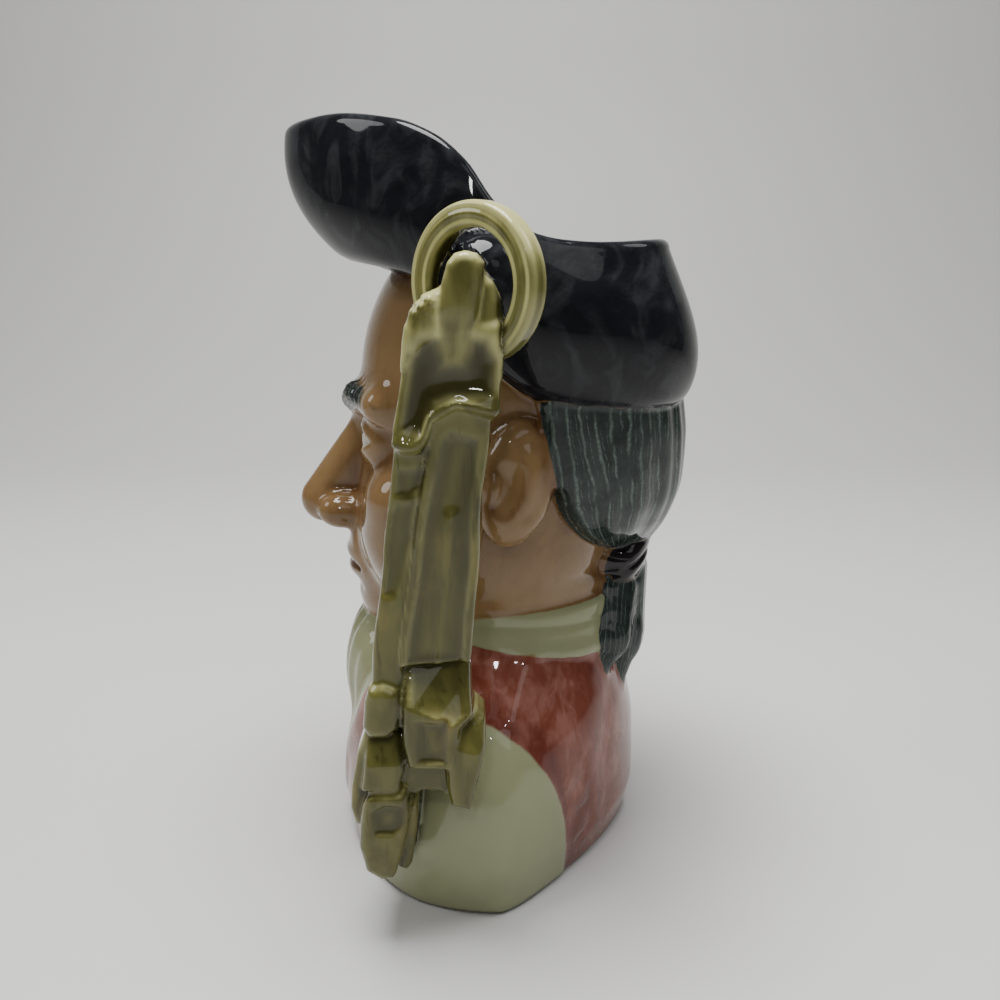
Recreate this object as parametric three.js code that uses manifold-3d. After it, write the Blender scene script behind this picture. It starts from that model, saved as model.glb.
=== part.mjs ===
// A slip-cast character jug: the head and shoulders of a man in an open three-cornered hat, with a
// ring and two old keys for a handle. Millimetres, +Z up. The face looks along -Y, the handle is on
// the figure's left at +X, and the origin is the centre of the flat underside.
import * as THREE from 'three';
import { ParametricGeometry } from 'three/addons/geometries/ParametricGeometry.js';
import { mergeVertices } from 'three/addons/utils/BufferGeometryUtils.js';
import Module from 'manifold-3d';

const wasm = await Module();
wasm.setup();

// ---- Driving dimensions ----

const WALL = 4.6;
const FLOOR = 5.5;
const AXIS_Y = -1;
const BASE_EDGE = 1.4;

// The bust's half width, its reach to the front and the back, and the squareness of its plan.
const BUST = {
    halfWidth: [
        [0, 47], [12, 48.5], [26, 48.5], [36, 47], [44, 43.5], [50, 39], [56, 34.5], [62, 31.5], [74, 30],
    ],
    front: [[0, 41.5], [11, 42.5], [29, 41], [40, 39.5], [47, 38], [52, 36], [58, 32], [66, 27], [74, 25]],
    back: [[0, 35.5], [11, 37.5], [29, 37], [40, 35], [48, 32.5], [56, 31], [74, 30]],
    frontPower: [[0, 2.1], [50, 2], [74, 2]],
    backPower: [[0, 1.35], [20, 1.5], [45, 1.8], [60, 2], [74, 2]],
    top: 74,
};
// The shirt's sleeves dome out of the vest's armholes; the lapels are rolls down the chest.
const SLEEVE = { middle: [-10, 8], reach: [26.5, 38.5], power: 2.2, step: 0.9, dome: 2.8, domeWidth: 17 };
const LAPEL = { path: [[24, -29.5, 50], [17, -35, 34], [7, -40, 21], [4, -41, 9]], width: 3.4, height: 2.6 };
const CRAVAT = { centre: [0, -31, 43], radii: [18, 11.2, 21] };
const NECKBAND = { sideTop: 69, backTop: 68.5, sideFoot: 64, backFoot: 55, proud: 1.1 };

const CRANIUM = { centre: [0, 3, 122], radii: [40, 38.5, 44] };
const JAW = { centre: [0, -4, 86], radii: [36.5, 34, 33] };
const CHEEK = { centre: [20.5, -19.5, 88], radii: [14, 13.5, 16] };
const CHEEKBONE = { centre: [25, -23, 97], radii: [9, 7.5, 6] };
const CHIN = { centre: [0, -25.5, 66], radii: [15, 12.5, 11.5] };
const BROW = { inner: [6, -34.5, 117.5], outer: [25, -28, 118.5], radius: 4.4 };
const SOCKET = { centre: [16.5, -38, 109.5], radii: [10, 6.5, 6.5] };
const EYE = { centre: [16.3, -25.3, 109.5], radii: [8.6, 8.6, 8.6] };
const NOSE = { root: [0, -33, 113], rootRadius: 4, tip: [0, -46.5, 90.5], tipRadius: 6.4 };
const NOSE_WING = { centre: [7.4, -41, 88.8], radii: [4.8, 6.2, 4.6] };
const MUZZLE = { centre: [0, -32.5, 78], radii: [16, 7, 10] };
const UPPER_LIP = { centre: [0, -35.8, 78], radii: [12.5, 5, 2.6] };
const LOWER_LIP = { centre: [0, -35.4, 73.4], radii: [10.5, 5, 3] };
const EAR = { centre: [41, 3.5, 103.5], radii: [5.4, 9, 14.6], lean: 12, flare: 14 };
const EAR_BOWL = { centre: [47.4, 2.2, 104.5], radii: [3.4, 4.6, 7.6] };

// The bag of hair under the hat, gathered at the ribbon.
const HAIR = {
    halfWidth: [[76, 9], [80, 15], [84, 24], [90, 33.5], [97, 39.5], [107, 42.5], [124, 43]],
    back: [[76, 35], [80, 39.5], [84, 42], [90, 44.5], [100, 46.8], [110, 47], [124, 45.5]],
    edge: [[76, 28], [80, 26], [87, 20], [95.5, 15], [107, 11.5], [118, 9.5], [124, 9]],
    middleY: 12,
    power: 2.3,
    foot: 76,
    top: 126,
};
const RIBBON = { centre: [0, 31.6, 76], radii: [16, 8.4, 10.2], slant: 0.5 };
const QUEUE = [
    { from: [3, 32, 72], to: [7, 31, 54], radius: 7.4, toRadius: 7.4 },
    { from: [7, 31, 56], to: [10, 31, 37], radius: 7.2, toRadius: 1 },
    { from: [9, 29.5, 68], to: [16, 28, 57], radius: 6.8, toRadius: 5.6 },
    { from: [16, 28, 58], to: [19, 25.4, 47], radius: 5.6, toRadius: 1.4 },
    { from: [-7, 31, 66], to: [-15, 29, 49], radius: 6.4, toRadius: 2 },
];

// The hat's lower edge and rim as heights over y, and its plan at the edge and at the rim.
const HAT = {
    edge: [
        [-40, 151.5], [-30, 150.5], [-19, 148], [-8, 138], [1, 127], [9.5, 122.2], [21, 120.5], [47, 118.5],
    ],
    rim: [
        [-54, 183], [-40, 183], [-22, 180.5], [-13, 177], [-6, 171.5], [0, 163.5], [8, 157.5], [15, 156],
        [22, 155.6], [47, 157],
    ],
    lower: { halfWidth: 43.5, front: 37.5, back: 44.2, frontPower: 2.1, backPower: 3 },
    upper: { halfWidth: 47, front: 52, back: 38.6, frontPower: 1.62, backPower: 3.6 },
    frontSwell: 2.6,
    backSwell: 7.6,
    edgeRound: 1.6,
};

// The ring is a thick band round a knob on the hat; its back stands out over the hat's side.
const HAT_KNOB = { centre: [52.4, -3.5, 147], radii: [7.6, 9.6, 10.2] };
const RING = { centre: [62.3, -4.5, 147.6], radius: 12.8, width: 5.4, thickness: 5, corner: 1.5, turn: -39 };

// The keys hang along a leaning line. Each piece of them is a plate with an outline of points (across
// the line towards the back, height), a span outwards from the line, and a round edge. A sloped
// front passes through the point (across, height, out) and leans back towards its top and its back.
const KEY_LINE = { top: [66, -6.5, 156], foot: [57.5, -22.2, 16] };
const KEY_PIECES = [
    {
        name: 'block', out: [-6.5, 5.8], round: 2,
        outline: [
            [-8.8, 140], [-9.6, 130], [-10.2, 120.6], [-9.8, 117.4], [-8, 115.8], [-4.4, 115.7],
            [-3.4, 118.4], [-2.4, 122.4], [1.6, 124.6], [6, 123.4], [8.8, 122.6], [9.9, 124],
            [9.4, 134], [8.8, 141],
        ],
    },
    {
        name: 'left bow', out: [-5.6, 6.2], round: 2.3,
        outline: [
            [-2, 132], [-2, 147.2], [-3.8, 147], [-6.4, 145.9], [-8.5, 143.1], [-9, 139.5], [-9.4, 132],
        ],
    },
    {
        name: 'middle bow', out: [-7.6, 7.6], round: 2.2,
        outline: [
            [-3.2, 126], [-3.3, 148.6], [-2.9, 151.6], [-1.7, 153.2], [0.3, 153.7], [2.4, 153.1],
            [3.8, 151.4], [4.2, 147.5], [4.2, 126],
        ],
        slope: { at: [0, 143, 7.6], lean: -0.34, sideways: 0 },
    },
    {
        name: 'right bow', out: [-6, 5.2], round: 2.6,
        outline: [
            [1.5, 130], [1.5, 150], [3.8, 149.8], [6.2, 148.2], [8.3, 144.6], [9.2, 139.5], [9.6, 130],
        ],
    },
    {
        name: 'left shaft', out: [-4.4, 3.4], round: 1.6,
        outline: [
            [-10.2, 60], [-10.5, 85], [-9.8, 104], [-9.5, 122], [-3.2, 122], [-4, 92], [-3.9, 60],
        ],
    },
    {
        name: 'right shaft', out: [-5.1, 4.5], round: 1.6,
        outline: [
            [-4.6, 70], [-4.5, 84], [-3.6, 104], [-3.2, 126], [8.3, 126], [8.7, 108], [9.5, 85], [10.1, 71],
        ],
    },
    {
        name: 'left collar', out: [-5.3, 5.6], round: 2.7,
        outline: [
            [-11.5, 56], [-11.6, 62], [-10.8, 65], [-7.7, 66.2], [-4.4, 64.8], [-3, 61.5], [-3.4, 56],
            [-6, 53.5], [-10, 53.5],
        ],
    },
    {
        name: 'left bit', out: [-9.1, 4.6], round: 1.9,
        outline: [[-10.6, 40], [-10.6, 55], [-3.6, 55], [-1.6, 48], [-2.4, 40]],
        slope: { at: [-7, 47, 4.4], lean: 0.5, sideways: 0 },
    },
    {
        name: 'front tooth', out: [-8.6, 1.2], round: 1.6,
        outline: [
            [-11, 54], [-12.4, 48], [-13, 40], [-12.8, 34], [-11.5, 29.5], [-9.5, 30], [-9, 54],
        ],
    },
    {
        name: 'lower tooth', out: [-16.2, 5], round: 2.2,
        outline: [
            [-8.2, 42.5], [-9.8, 36.5], [-10.2, 26], [-8.4, 19.6], [-4.6, 17.2], [-1.6, 18], [-0.6, 25],
            [0.6, 34], [-0.4, 40], [-4, 43],
        ],
        slope: { at: [-5, 38.5, 5], lean: 0.6, sideways: 0 },
    },
    {
        name: 'back tooth', out: [-15.2, -1.5], round: 1.4,
        outline: [[-1.6, 15.5], [1, 15], [2, 18], [1.6, 33], [-1.6, 33]],
    },
    {
        name: 'right bit', out: [-8.1, 6.2], round: 1.9,
        outline: [
            [-4.6, 72], [-3.2, 62], [-2.6, 52], [-1, 46.5], [8.5, 46.5], [9, 56], [11.5, 58], [10.3, 66],
            [9.4, 72],
        ],
        slope: { at: [0, 60.5, 6.2], lean: 0.68, sideways: 0.3 },
    },
    {
        name: 'right tooth', out: [-10.2, 5.6], round: 2.1,
        outline: [
            [6.8, 56], [7.2, 46], [8.6, 40], [9.6, 37], [13.6, 36], [14.6, 43], [15, 51], [14.2, 56.5],
            [11.5, 59],
        ],
        slope: { at: [11, 51, 5.4], lean: 0.55, sideways: 0.15 },
    },
    {
        name: 'right stub', out: [-18, 1.6], round: 1.6,
        outline: [[-3, 48], [-2.4, 40], [1.2, 37.5], [3, 38.6], [6.6, 38.4], [9, 37], [9, 48]],
    },
];
const CUTTER = 60;

// A chamfer this much of a round edge's radius takes off as much of the corner.
const CHAMFER = 0.6;

// How softly one form runs into the next.
const BLEND = {
    skull: 10, flesh: 6, brow: 5, eye: 1.5, wing: 3, lip: 2.5, cloth: 3, trim: 2.5, edge: 1.5, plain: 8,
};

const COLUMNS = 60;
const COLUMN_CROWDING = 0.36;
const ROWS = { under: 1, bust: 9, head: 26, hat: 6, lip: 4, inside: 8, floor: 2 };
const ROW_CROWDING = { amount: 0.42, middle: 0.22 };
const EAR_SIDES = 12;
const RING_SIDES = 28;

// ---- Small helpers ----

const clamp = THREE.MathUtils.clamp;
const lerp = THREE.MathUtils.lerp;
const softStep = (low, high, value) => THREE.MathUtils.smoothstep(value, low, high);

// A smooth curve through [position, value] pairs, with no overshoot between them.
function curve(points) {
    const slopes = points.map((_, i) => {
        if (i === 0 || i === points.length - 1) return 0;
        const before = (points[i][1] - points[i - 1][1]) / (points[i][0] - points[i - 1][0]);
        const after = (points[i + 1][1] - points[i][1]) / (points[i + 1][0] - points[i][0]);
        return before * after <= 0 ? 0 : 2 * before * after / (before + after);
    });
    return (position) => {
        const last = points.length - 1;
        if (position <= points[0][0]) return points[0][1];
        if (position >= points[last][0]) return points[last][1];
        let i = 0;
        while (position > points[i + 1][0]) i += 1;
        const step = points[i + 1][0] - points[i][0];
        const t = (position - points[i][0]) / step;
        const start = points[i][1] * (1 + 2 * t) * (1 - t) ** 2 + slopes[i] * step * t * (1 - t) ** 2;
        const end = points[i + 1][1] * t * t * (3 - 2 * t) + slopes[i + 1] * step * t * t * (t - 1);
        return start + end;
    };
}

// Distance-like fields: negative inside a form, positive outside it.
function join(a, b, blend) {
    const overlap = Math.max(blend - Math.abs(a - b), 0) / blend;
    return Math.min(a, b) - overlap * overlap * blend / 4;
}
const within = (a, b, blend) => -join(-a, -b, blend);
const carve = (a, b, blend) => -join(-a, b, blend);

function ellipsoid(p, { centre, radii }) {
    const d = [p.x - centre[0], p.y - centre[1], p.z - centre[2]];
    const near = Math.hypot(d[0] / radii[0], d[1] / radii[1], d[2] / radii[2]);
    const far = Math.hypot(d[0] / radii[0] ** 2, d[1] / radii[1] ** 2, d[2] / radii[2] ** 2);
    return far > 1e-9 ? near * (near - 1) / far : -Math.min(...radii);
}

// How far along a line a point lies, from 0 to 1, and its distance from the line.
function along(p, from, to) {
    const axis = [to[0] - from[0], to[1] - from[1], to[2] - from[2]];
    const d = [p.x - from[0], p.y - from[1], p.z - from[2]];
    const dot = d[0] * axis[0] + d[1] * axis[1] + d[2] * axis[2];
    const t = clamp(dot / (axis[0] ** 2 + axis[1] ** 2 + axis[2] ** 2), 0, 1);
    return { t, distance: Math.hypot(d[0] - axis[0] * t, d[1] - axis[1] * t, d[2] - axis[2] * t) };
}

function taper(p, from, to, fromRadius, toRadius) {
    const { t, distance } = along(p, from, to);
    return distance - lerp(fromRadius, toRadius, t);
}

// How much a soft ridge along a path of points raises a form.
function ridge(p, { path, width, height }) {
    const distances = path.slice(1).map((to, i) => along(p, path[i], to).distance);
    return height * Math.exp(-((Math.min(...distances) / width) ** 2));
}

function oval(x, y, halfWidth, front, back, power) {
    const reach = y < 0 ? front : back;
    return (Math.abs(x / halfWidth) ** power + Math.abs(y / reach) ** power) ** (1 / power);
}

// ---- The body's forms ----

const bustHalfWidth = curve(BUST.halfWidth);
const bustFront = curve(BUST.front);
const bustBack = curve(BUST.back);
const bustFrontPower = curve(BUST.frontPower);
const bustBackPower = curve(BUST.backPower);

function bust(p) {
    const halfWidth = bustHalfWidth(p.z);
    const power = p.y < 0 ? bustFrontPower(p.z) : bustBackPower(p.z);
    const size = oval(p.x, p.y, halfWidth, bustFront(p.z), bustBack(p.z), power);
    return within((size - 1) * halfWidth, p.z - BUST.top, BLEND.cloth);
}

function neckband(p) {
    const back = clamp((p.y + 20) / 50, 0, 1);
    const top = lerp(NECKBAND.sideTop, NECKBAND.backTop, back);
    const foot = lerp(NECKBAND.sideFoot, NECKBAND.backFoot, back);
    const height = clamp(p.z, foot, top);
    const size = oval(p.x, p.y, bustHalfWidth(height), bustFront(height), bustBack(height), 2);
    const band = (size - 1) * bustHalfWidth(height) - NECKBAND.proud;
    return within(within(band, p.z - top, BLEND.edge), foot - p.z, BLEND.edge);
}

// The distance inside the armhole's edge, seen from the side.
function sleeveArea(mirrored) {
    const [y, z] = SLEEVE.middle;
    const [wide, high] = SLEEVE.reach;
    const size = oval(mirrored.y - y, mirrored.z - z, wide, high, high, SLEEVE.power);
    return Math.min((1 - size) * wide, (mirrored.x - 16) * 0.6);
}

const sleeveDome = (mirrored) => SLEEVE.dome * softStep(0, SLEEVE.domeWidth, sleeveArea(mirrored));

function clothes(p, mirrored) {
    const step = SLEEVE.step * softStep(-SLEEVE.step, SLEEVE.step, sleeveArea(mirrored));
    const trunk = bust(p) - step - sleeveDome(mirrored) - ridge(mirrored, LAPEL);
    const linen = join(neckband(p), ellipsoid(p, CRAVAT), BLEND.trim);
    return join(trunk, linen, BLEND.edge);
}

const skull = (p) => join(ellipsoid(p, CRANIUM), ellipsoid(p, JAW), BLEND.skull);

function face(p, mirrored) {
    let d = skull(p);
    d = join(d, ellipsoid(mirrored, CHEEK), BLEND.flesh);
    d = join(d, ellipsoid(mirrored, CHEEKBONE), BLEND.flesh);
    d = join(d, ellipsoid(p, CHIN), BLEND.flesh);
    d = join(d, ellipsoid(p, MUZZLE), BLEND.flesh);
    d = join(d, taper(mirrored, BROW.inner, BROW.outer, BROW.radius, BROW.radius), BLEND.brow);
    d = carve(d, ellipsoid(mirrored, SOCKET), BLEND.brow);
    d = join(d, ellipsoid(mirrored, EYE), BLEND.eye);
    d = join(d, taper(p, NOSE.root, NOSE.tip, NOSE.rootRadius, NOSE.tipRadius), BLEND.brow);
    d = join(d, ellipsoid(mirrored, NOSE_WING), BLEND.wing);
    d = join(d, ellipsoid(p, UPPER_LIP), BLEND.lip);
    return join(d, ellipsoid(p, LOWER_LIP), BLEND.lip);
}

const hairHalfWidth = curve(HAIR.halfWidth);
const hairBack = curve(HAIR.back);
const hairEdge = curve(HAIR.edge);

function hair(p) {
    const halfWidth = hairHalfWidth(p.z);
    const reach = hairBack(p.z) - HAIR.middleY;
    const size = oval(p.x, p.y - HAIR.middleY, halfWidth, reach, reach, HAIR.power);
    const bag = within((size - 1) * Math.min(halfWidth, reach), hairEdge(p.z) - p.y, BLEND.trim);
    return within(within(bag, HAIR.foot - p.z, BLEND.cloth), p.z - HAIR.top, BLEND.edge);
}

function queue(p) {
    const slanted = { x: p.x, y: p.y, z: p.z - RIBBON.slant * (p.y - RIBBON.centre[1]) };
    const ribbon = ellipsoid(slanted, RIBBON);
    const locks = QUEUE.map((lock) => taper(p, lock.from, lock.to, lock.radius, lock.toRadius));
    return locks.reduce((d, lock) => join(d, lock, BLEND.edge), ribbon);
}

const hatEdge = curve(HAT.edge);
const hatRim = curve(HAT.rim);

// The reach of a plan outline from the axis along the direction (x, y).
function planReach(x, y, plan) {
    const length = Math.hypot(x, y) || 1;
    const power = y < 0 ? plan.frontPower : plan.backPower;
    return 1 / oval(x / length, y / length, plan.halfWidth, plan.front, plan.back, power);
}

function hatHeights(x, y) {
    const length = Math.hypot(x, y) || 1;
    return {
        edge: hatEdge(y / length * planReach(x, y, HAT.lower)),
        rim: hatRim(y / length * planReach(x, y, HAT.upper)),
    };
}

function hatReach(x, y, height) {
    const rise = clamp(height, 0, 1);
    const lower = planReach(x, y, HAT.lower);
    const upper = planReach(x, y, HAT.upper);
    const opening = 1 - (1 - rise) ** 2;
    const back = ((y / (Math.hypot(x, y) || 1) + 1) / 2) ** 2;
    const swell = lerp(HAT.frontSwell, HAT.backSwell, back) * Math.sin(Math.PI * rise ** 0.75);
    return lerp(lower, upper, opening) + swell;
}

function hat(p) {
    const { edge, rim } = hatHeights(p.x, p.y);
    const side = Math.hypot(p.x, p.y) - hatReach(p.x, p.y, (p.z - edge) / (rim - edge));
    return within(side, edge - p.z, HAT.edgeRound * 2);
}

// What the wall's inside follows: the body with none of its small forms.
function plainSkin(p) {
    const mirrored = { x: Math.abs(p.x), y: p.y, z: p.z };
    const trunk = bust(p) - sleeveDome(mirrored);
    return join(join(skull(p), trunk, BLEND.plain), hat(p), 1);
}

function skin(p) {
    const mirrored = { x: Math.abs(p.x), y: p.y, z: p.z };
    let d = join(face(p, mirrored), clothes(p, mirrored), BLEND.edge);
    d = join(d, hat(p), BLEND.edge);
    d = join(d, hair(p), BLEND.edge);
    return join(d, queue(p), BLEND.edge);
}

// ---- The body as one closed surface: under, outside, over the lip, and down the inside ----

const FARTHEST = 74;
const BISECTIONS = 12;
const INSIDE_SAMPLES = 4;

// Where a level ray from the axis last leaves a form.
function reach(form, cos, sin, z) {
    const at = (r) => form({ x: r * sin, y: AXIS_Y - r * cos, z });
    let outer = FARTHEST;
    while (outer > 4 && at(outer) > 0) outer -= 1;
    let inner = outer;
    outer += 1;
    for (let i = 0; i < BISECTIONS; i += 1) {
        const middle = (inner + outer) / 2;
        if (at(middle) > 0) outer = middle;
        else inner = middle;
    }
    return (inner + outer) / 2;
}

// The wall's inner reach: the outside moved in by a round tool of the wall's thickness.
function insideReach(cos, sin, z, rim) {
    let smallest = FARTHEST;
    for (let i = -INSIDE_SAMPLES; i <= INSIDE_SAMPLES; i += 1) {
        const dz = WALL * i / INSIDE_SAMPLES;
        const outside = reach(plainSkin, cos, sin, Math.min(z + dz, rim));
        smallest = Math.min(smallest, outside - Math.sqrt(WALL * WALL - dz * dz));
    }
    return smallest;
}

function columnAngle(u) {
    return 2 * Math.PI * u - COLUMN_CROWDING * Math.sin(2 * Math.PI * u);
}

// Heights up the head, set closer together round the mouth and nose.
function headRow(t) {
    const { amount, middle } = ROW_CROWDING;
    const wave = (position) => Math.sin(2 * Math.PI * (position - middle)) / (2 * Math.PI);
    return t - amount * (wave(t) - wave(0));
}

const bodyRows = [];
for (let i = 0; i <= ROWS.under; i += 1) bodyRows.push({ zone: 'under', t: i / ROWS.under });
for (let i = 0; i <= ROWS.bust; i += 1) bodyRows.push({ zone: 'bust', t: i / ROWS.bust });
for (let i = 1; i <= ROWS.head; i += 1) bodyRows.push({ zone: 'head', t: i / ROWS.head });
for (let i = 1; i <= ROWS.hat; i += 1) bodyRows.push({ zone: 'hat', t: i / ROWS.hat });
for (let i = 1; i < ROWS.lip; i += 1) bodyRows.push({ zone: 'lip', t: i / ROWS.lip });
for (let i = 0; i <= ROWS.inside; i += 1) bodyRows.push({ zone: 'inside', t: i / ROWS.inside });
for (let i = 1; i <= ROWS.floor; i += 1) bodyRows.push({ zone: 'floor', t: i / ROWS.floor });

const BUST_TOP_ROW = 60;
const HAT_STEP = 0.4;
const FLOOR_CORNER = 3;
const LIP = WALL / 2;

function bodyPoint(u, v, target) {
    const angle = columnAngle(u);
    const cos = Math.cos(angle);
    const sin = Math.sin(angle);
    const { zone, t } = bodyRows[Math.round(v * (bodyRows.length - 1))];
    const { edge, rim } = hatHeights(sin, -cos);
    const lipFoot = rim - LIP;
    const bottom = FLOOR + WALL;
    let r;
    let z;
    if (zone === 'under') {
        z = 0;
        r = t * (reach(skin, cos, sin, BASE_EDGE) - BASE_EDGE);
    } else if (zone === 'bust') {
        z = lerp(BASE_EDGE, BUST_TOP_ROW, t);
        r = reach(skin, cos, sin, z);
    } else if (zone === 'head') {
        z = lerp(BUST_TOP_ROW, edge + HAT_STEP, headRow(t));
        r = reach(skin, cos, sin, z);
    } else if (zone === 'hat') {
        z = lerp(edge + HAT_STEP, lipFoot, t);
        r = reach(skin, cos, sin, z);
    } else if (zone === 'lip') {
        z = lipFoot + LIP * Math.sin(Math.PI * t);
        r = reach(skin, cos, sin, lipFoot) - LIP + LIP * Math.cos(Math.PI * t);
    } else if (zone === 'inside') {
        z = lerp(lipFoot, bottom, t);
        r = t === 0 ? reach(skin, cos, sin, lipFoot) - WALL : insideReach(cos, sin, z, lipFoot);
    } else {
        z = FLOOR;
        r = t < 1 ? insideReach(cos, sin, bottom, lipFoot) - FLOOR_CORNER : 0;
    }
    target.set(r * sin, AXIS_Y - r * cos, z);
}

// ---- Solids ----

function toSolid(geometry) {
    const bare = geometry.clone();
    bare.deleteAttribute('normal');
    bare.deleteAttribute('uv');
    const merged = mergeVertices(bare, 1e-3);
    const index = [...merged.index.array];
    const triangles = [];
    for (let i = 0; i < index.length; i += 3) {
        const [a, b, c] = index.slice(i, i + 3);
        if (a !== b && b !== c && c !== a) triangles.push(a, b, c);
    }
    const mesh = new wasm.Mesh({
        numProp: 3,
        vertProperties: new Float32Array(merged.attributes.position.array),
        triVerts: new Uint32Array(triangles),
    });
    return new wasm.Manifold(mesh);
}

function toGeometry(solid) {
    const mesh = solid.getMesh();
    const geometry = new THREE.BufferGeometry();
    geometry.setAttribute('position', new THREE.BufferAttribute(mesh.vertProperties.slice(), 3));
    geometry.setIndex([...mesh.triVerts]);
    geometry.computeVertexNormals();
    return geometry;
}

function bodySolid() {
    return toSolid(new ParametricGeometry(bodyPoint, COLUMNS, bodyRows.length - 1));
}

function ellipsoidGeometry({ centre, radii }, lean = 0, flare = 0) {
    const geometry = new THREE.SphereGeometry(1, EAR_SIDES, EAR_SIDES - 3);
    geometry.rotateX(Math.PI / 2);
    geometry.scale(...radii);
    geometry.rotateX(THREE.MathUtils.degToRad(lean));
    geometry.rotateZ(THREE.MathUtils.degToRad(flare));
    return geometry.translate(...centre);
}

// Both ears: a leaning oval, set out a little at its back, with the bowl sunk into it.
function withEars(body) {
    const ear = toSolid(ellipsoidGeometry(EAR, -EAR.lean, EAR.flare));
    const left = ear.subtract(toSolid(ellipsoidGeometry(EAR_BOWL, -EAR.lean)));
    return body.add(left).add(left.mirror([1, 0, 0]));
}

function ringGeometry() {
    const half = RING.width / 2;
    const corner = RING.corner * CHAMFER;
    const inner = RING.radius - RING.thickness / 2;
    const outer = RING.radius + RING.thickness / 2;
    const section = [
        [inner, corner - half], [inner + corner, -half], [outer - corner, -half], [outer, corner - half],
        [outer, half - corner], [outer - corner, half], [inner + corner, half], [inner, half - corner],
    ].map(([x, y]) => new THREE.Vector2(x, y));
    const ring = new THREE.LatheGeometry([...section, section[0]], RING_SIDES);
    ring.rotateZ(Math.PI / 2 + THREE.MathUtils.degToRad(RING.turn));
    return ring.translate(...RING.centre);
}

// Lays a form drawn as (across, height, out) along the leaning line of the keys.
function alongKeys(geometry) {
    const places = geometry.attributes.position;
    const { top, foot } = KEY_LINE;
    for (let i = 0; i < places.count; i += 1) {
        const height = places.getY(i);
        const t = (top[2] - height) / (top[2] - foot[2]);
        const x = lerp(top[0], foot[0], t) + places.getZ(i);
        places.setXYZ(i, x, lerp(top[1], foot[1], t) + places.getX(i), height);
    }
    return geometry;
}

function keyPlate(outline, out, edge) {
    const shape = new THREE.Shape(outline.map(([across, height]) => new THREE.Vector2(across, height)));
    const plate = new THREE.ExtrudeGeometry(shape, {
        depth: out[1] - out[0] - 2 * edge,
        bevelThickness: edge,
        bevelSize: edge,
        bevelOffset: -edge,
        bevelSegments: 1,
        steps: 1,
    });
    return plate.translate(0, 0, out[0] + edge);
}

// A block lying on a sloped front, which cuts the plate down to it.
function slopeCutter({ at, lean, sideways }) {
    const up = new THREE.Vector3(sideways, lean, 1).normalize();
    const turn = new THREE.Quaternion().setFromUnitVectors(new THREE.Vector3(0, 0, 1), up);
    const cutter = new THREE.BoxGeometry(CUTTER, CUTTER, CUTTER).translate(0, 0, CUTTER / 2);
    return cutter.applyQuaternion(turn).translate(...at);
}

function keySolid({ outline, out, round, slope }) {
    const plate = toSolid(alongKeys(keyPlate(outline, out, round * CHAMFER)));
    return slope ? plate.subtract(toSolid(alongKeys(slopeCutter(slope)))) : plate;
}

function withHandle(body) {
    const knob = toSolid(ellipsoidGeometry(HAT_KNOB));
    const ring = toSolid(ringGeometry());
    return [knob, ring, ...KEY_PIECES.map(keySolid)].reduce((whole, part) => whole.add(part), body);
}

const glaze = new THREE.MeshStandardMaterial({ color: 0x9a7a63, roughness: 0.15, metalness: 0 });
const jug = new THREE.Mesh(toGeometry(withHandle(withEars(bodySolid()))), glaze);
jug.name = 'jug';
const object = new THREE.Group();
object.add(jug);
export default object;
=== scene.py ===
"""A glazed character jug: a man's head and shoulders in an open three-cornered hat.

Its handle is a ring with two old keys. The whole jug is one slip-cast, hollow piece.
"""

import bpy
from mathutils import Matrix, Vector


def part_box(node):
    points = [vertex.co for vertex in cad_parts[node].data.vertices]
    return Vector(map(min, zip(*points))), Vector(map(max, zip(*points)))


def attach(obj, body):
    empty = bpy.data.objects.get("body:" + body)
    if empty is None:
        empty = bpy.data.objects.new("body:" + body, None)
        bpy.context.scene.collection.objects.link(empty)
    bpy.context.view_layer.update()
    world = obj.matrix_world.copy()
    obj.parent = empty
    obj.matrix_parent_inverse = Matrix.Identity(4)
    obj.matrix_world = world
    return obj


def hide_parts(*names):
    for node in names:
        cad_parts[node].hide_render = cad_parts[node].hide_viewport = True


bl_info = {
    "name": "Toby Jug",
    "version": (1, 0, 0),
    "blender": (4, 5, 0),
    "location": "View3D > Sidebar > Toby Jug",
    "description": "Models a slip-cast character jug and its hand-painted glaze",
    "category": "Object",
}

import math
from types import SimpleNamespace

import bmesh
import bpy
import numpy as np
import openvdb
from bpy.props import FloatProperty, FloatVectorProperty, IntProperty, PointerProperty
from mathutils import Matrix, Vector

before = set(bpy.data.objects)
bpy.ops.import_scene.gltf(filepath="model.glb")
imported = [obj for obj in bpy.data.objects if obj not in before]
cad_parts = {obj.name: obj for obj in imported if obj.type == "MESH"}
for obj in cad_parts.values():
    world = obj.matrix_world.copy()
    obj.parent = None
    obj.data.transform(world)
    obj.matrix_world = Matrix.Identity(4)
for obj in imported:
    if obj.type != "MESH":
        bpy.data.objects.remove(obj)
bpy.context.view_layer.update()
NODE_LOW, NODE_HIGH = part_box("jug")

# The forms below are drawn in millimetres for a jug this tall; MM is one of them in metres.
DRAWN_HEIGHT = 183.0
MM = (NODE_HIGH[2] - NODE_LOW[2]) / DRAWN_HEIGHT

# ---- The jug's forms, in millimetres: +Z up, the face towards -Y, the handle at +X ----

WALL = 4.6
FLOOR = 5.5
AXIS_Y = -1.0
BASE_EDGE = 1.4
COLLAR_HEIGHT = 60.0

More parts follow.
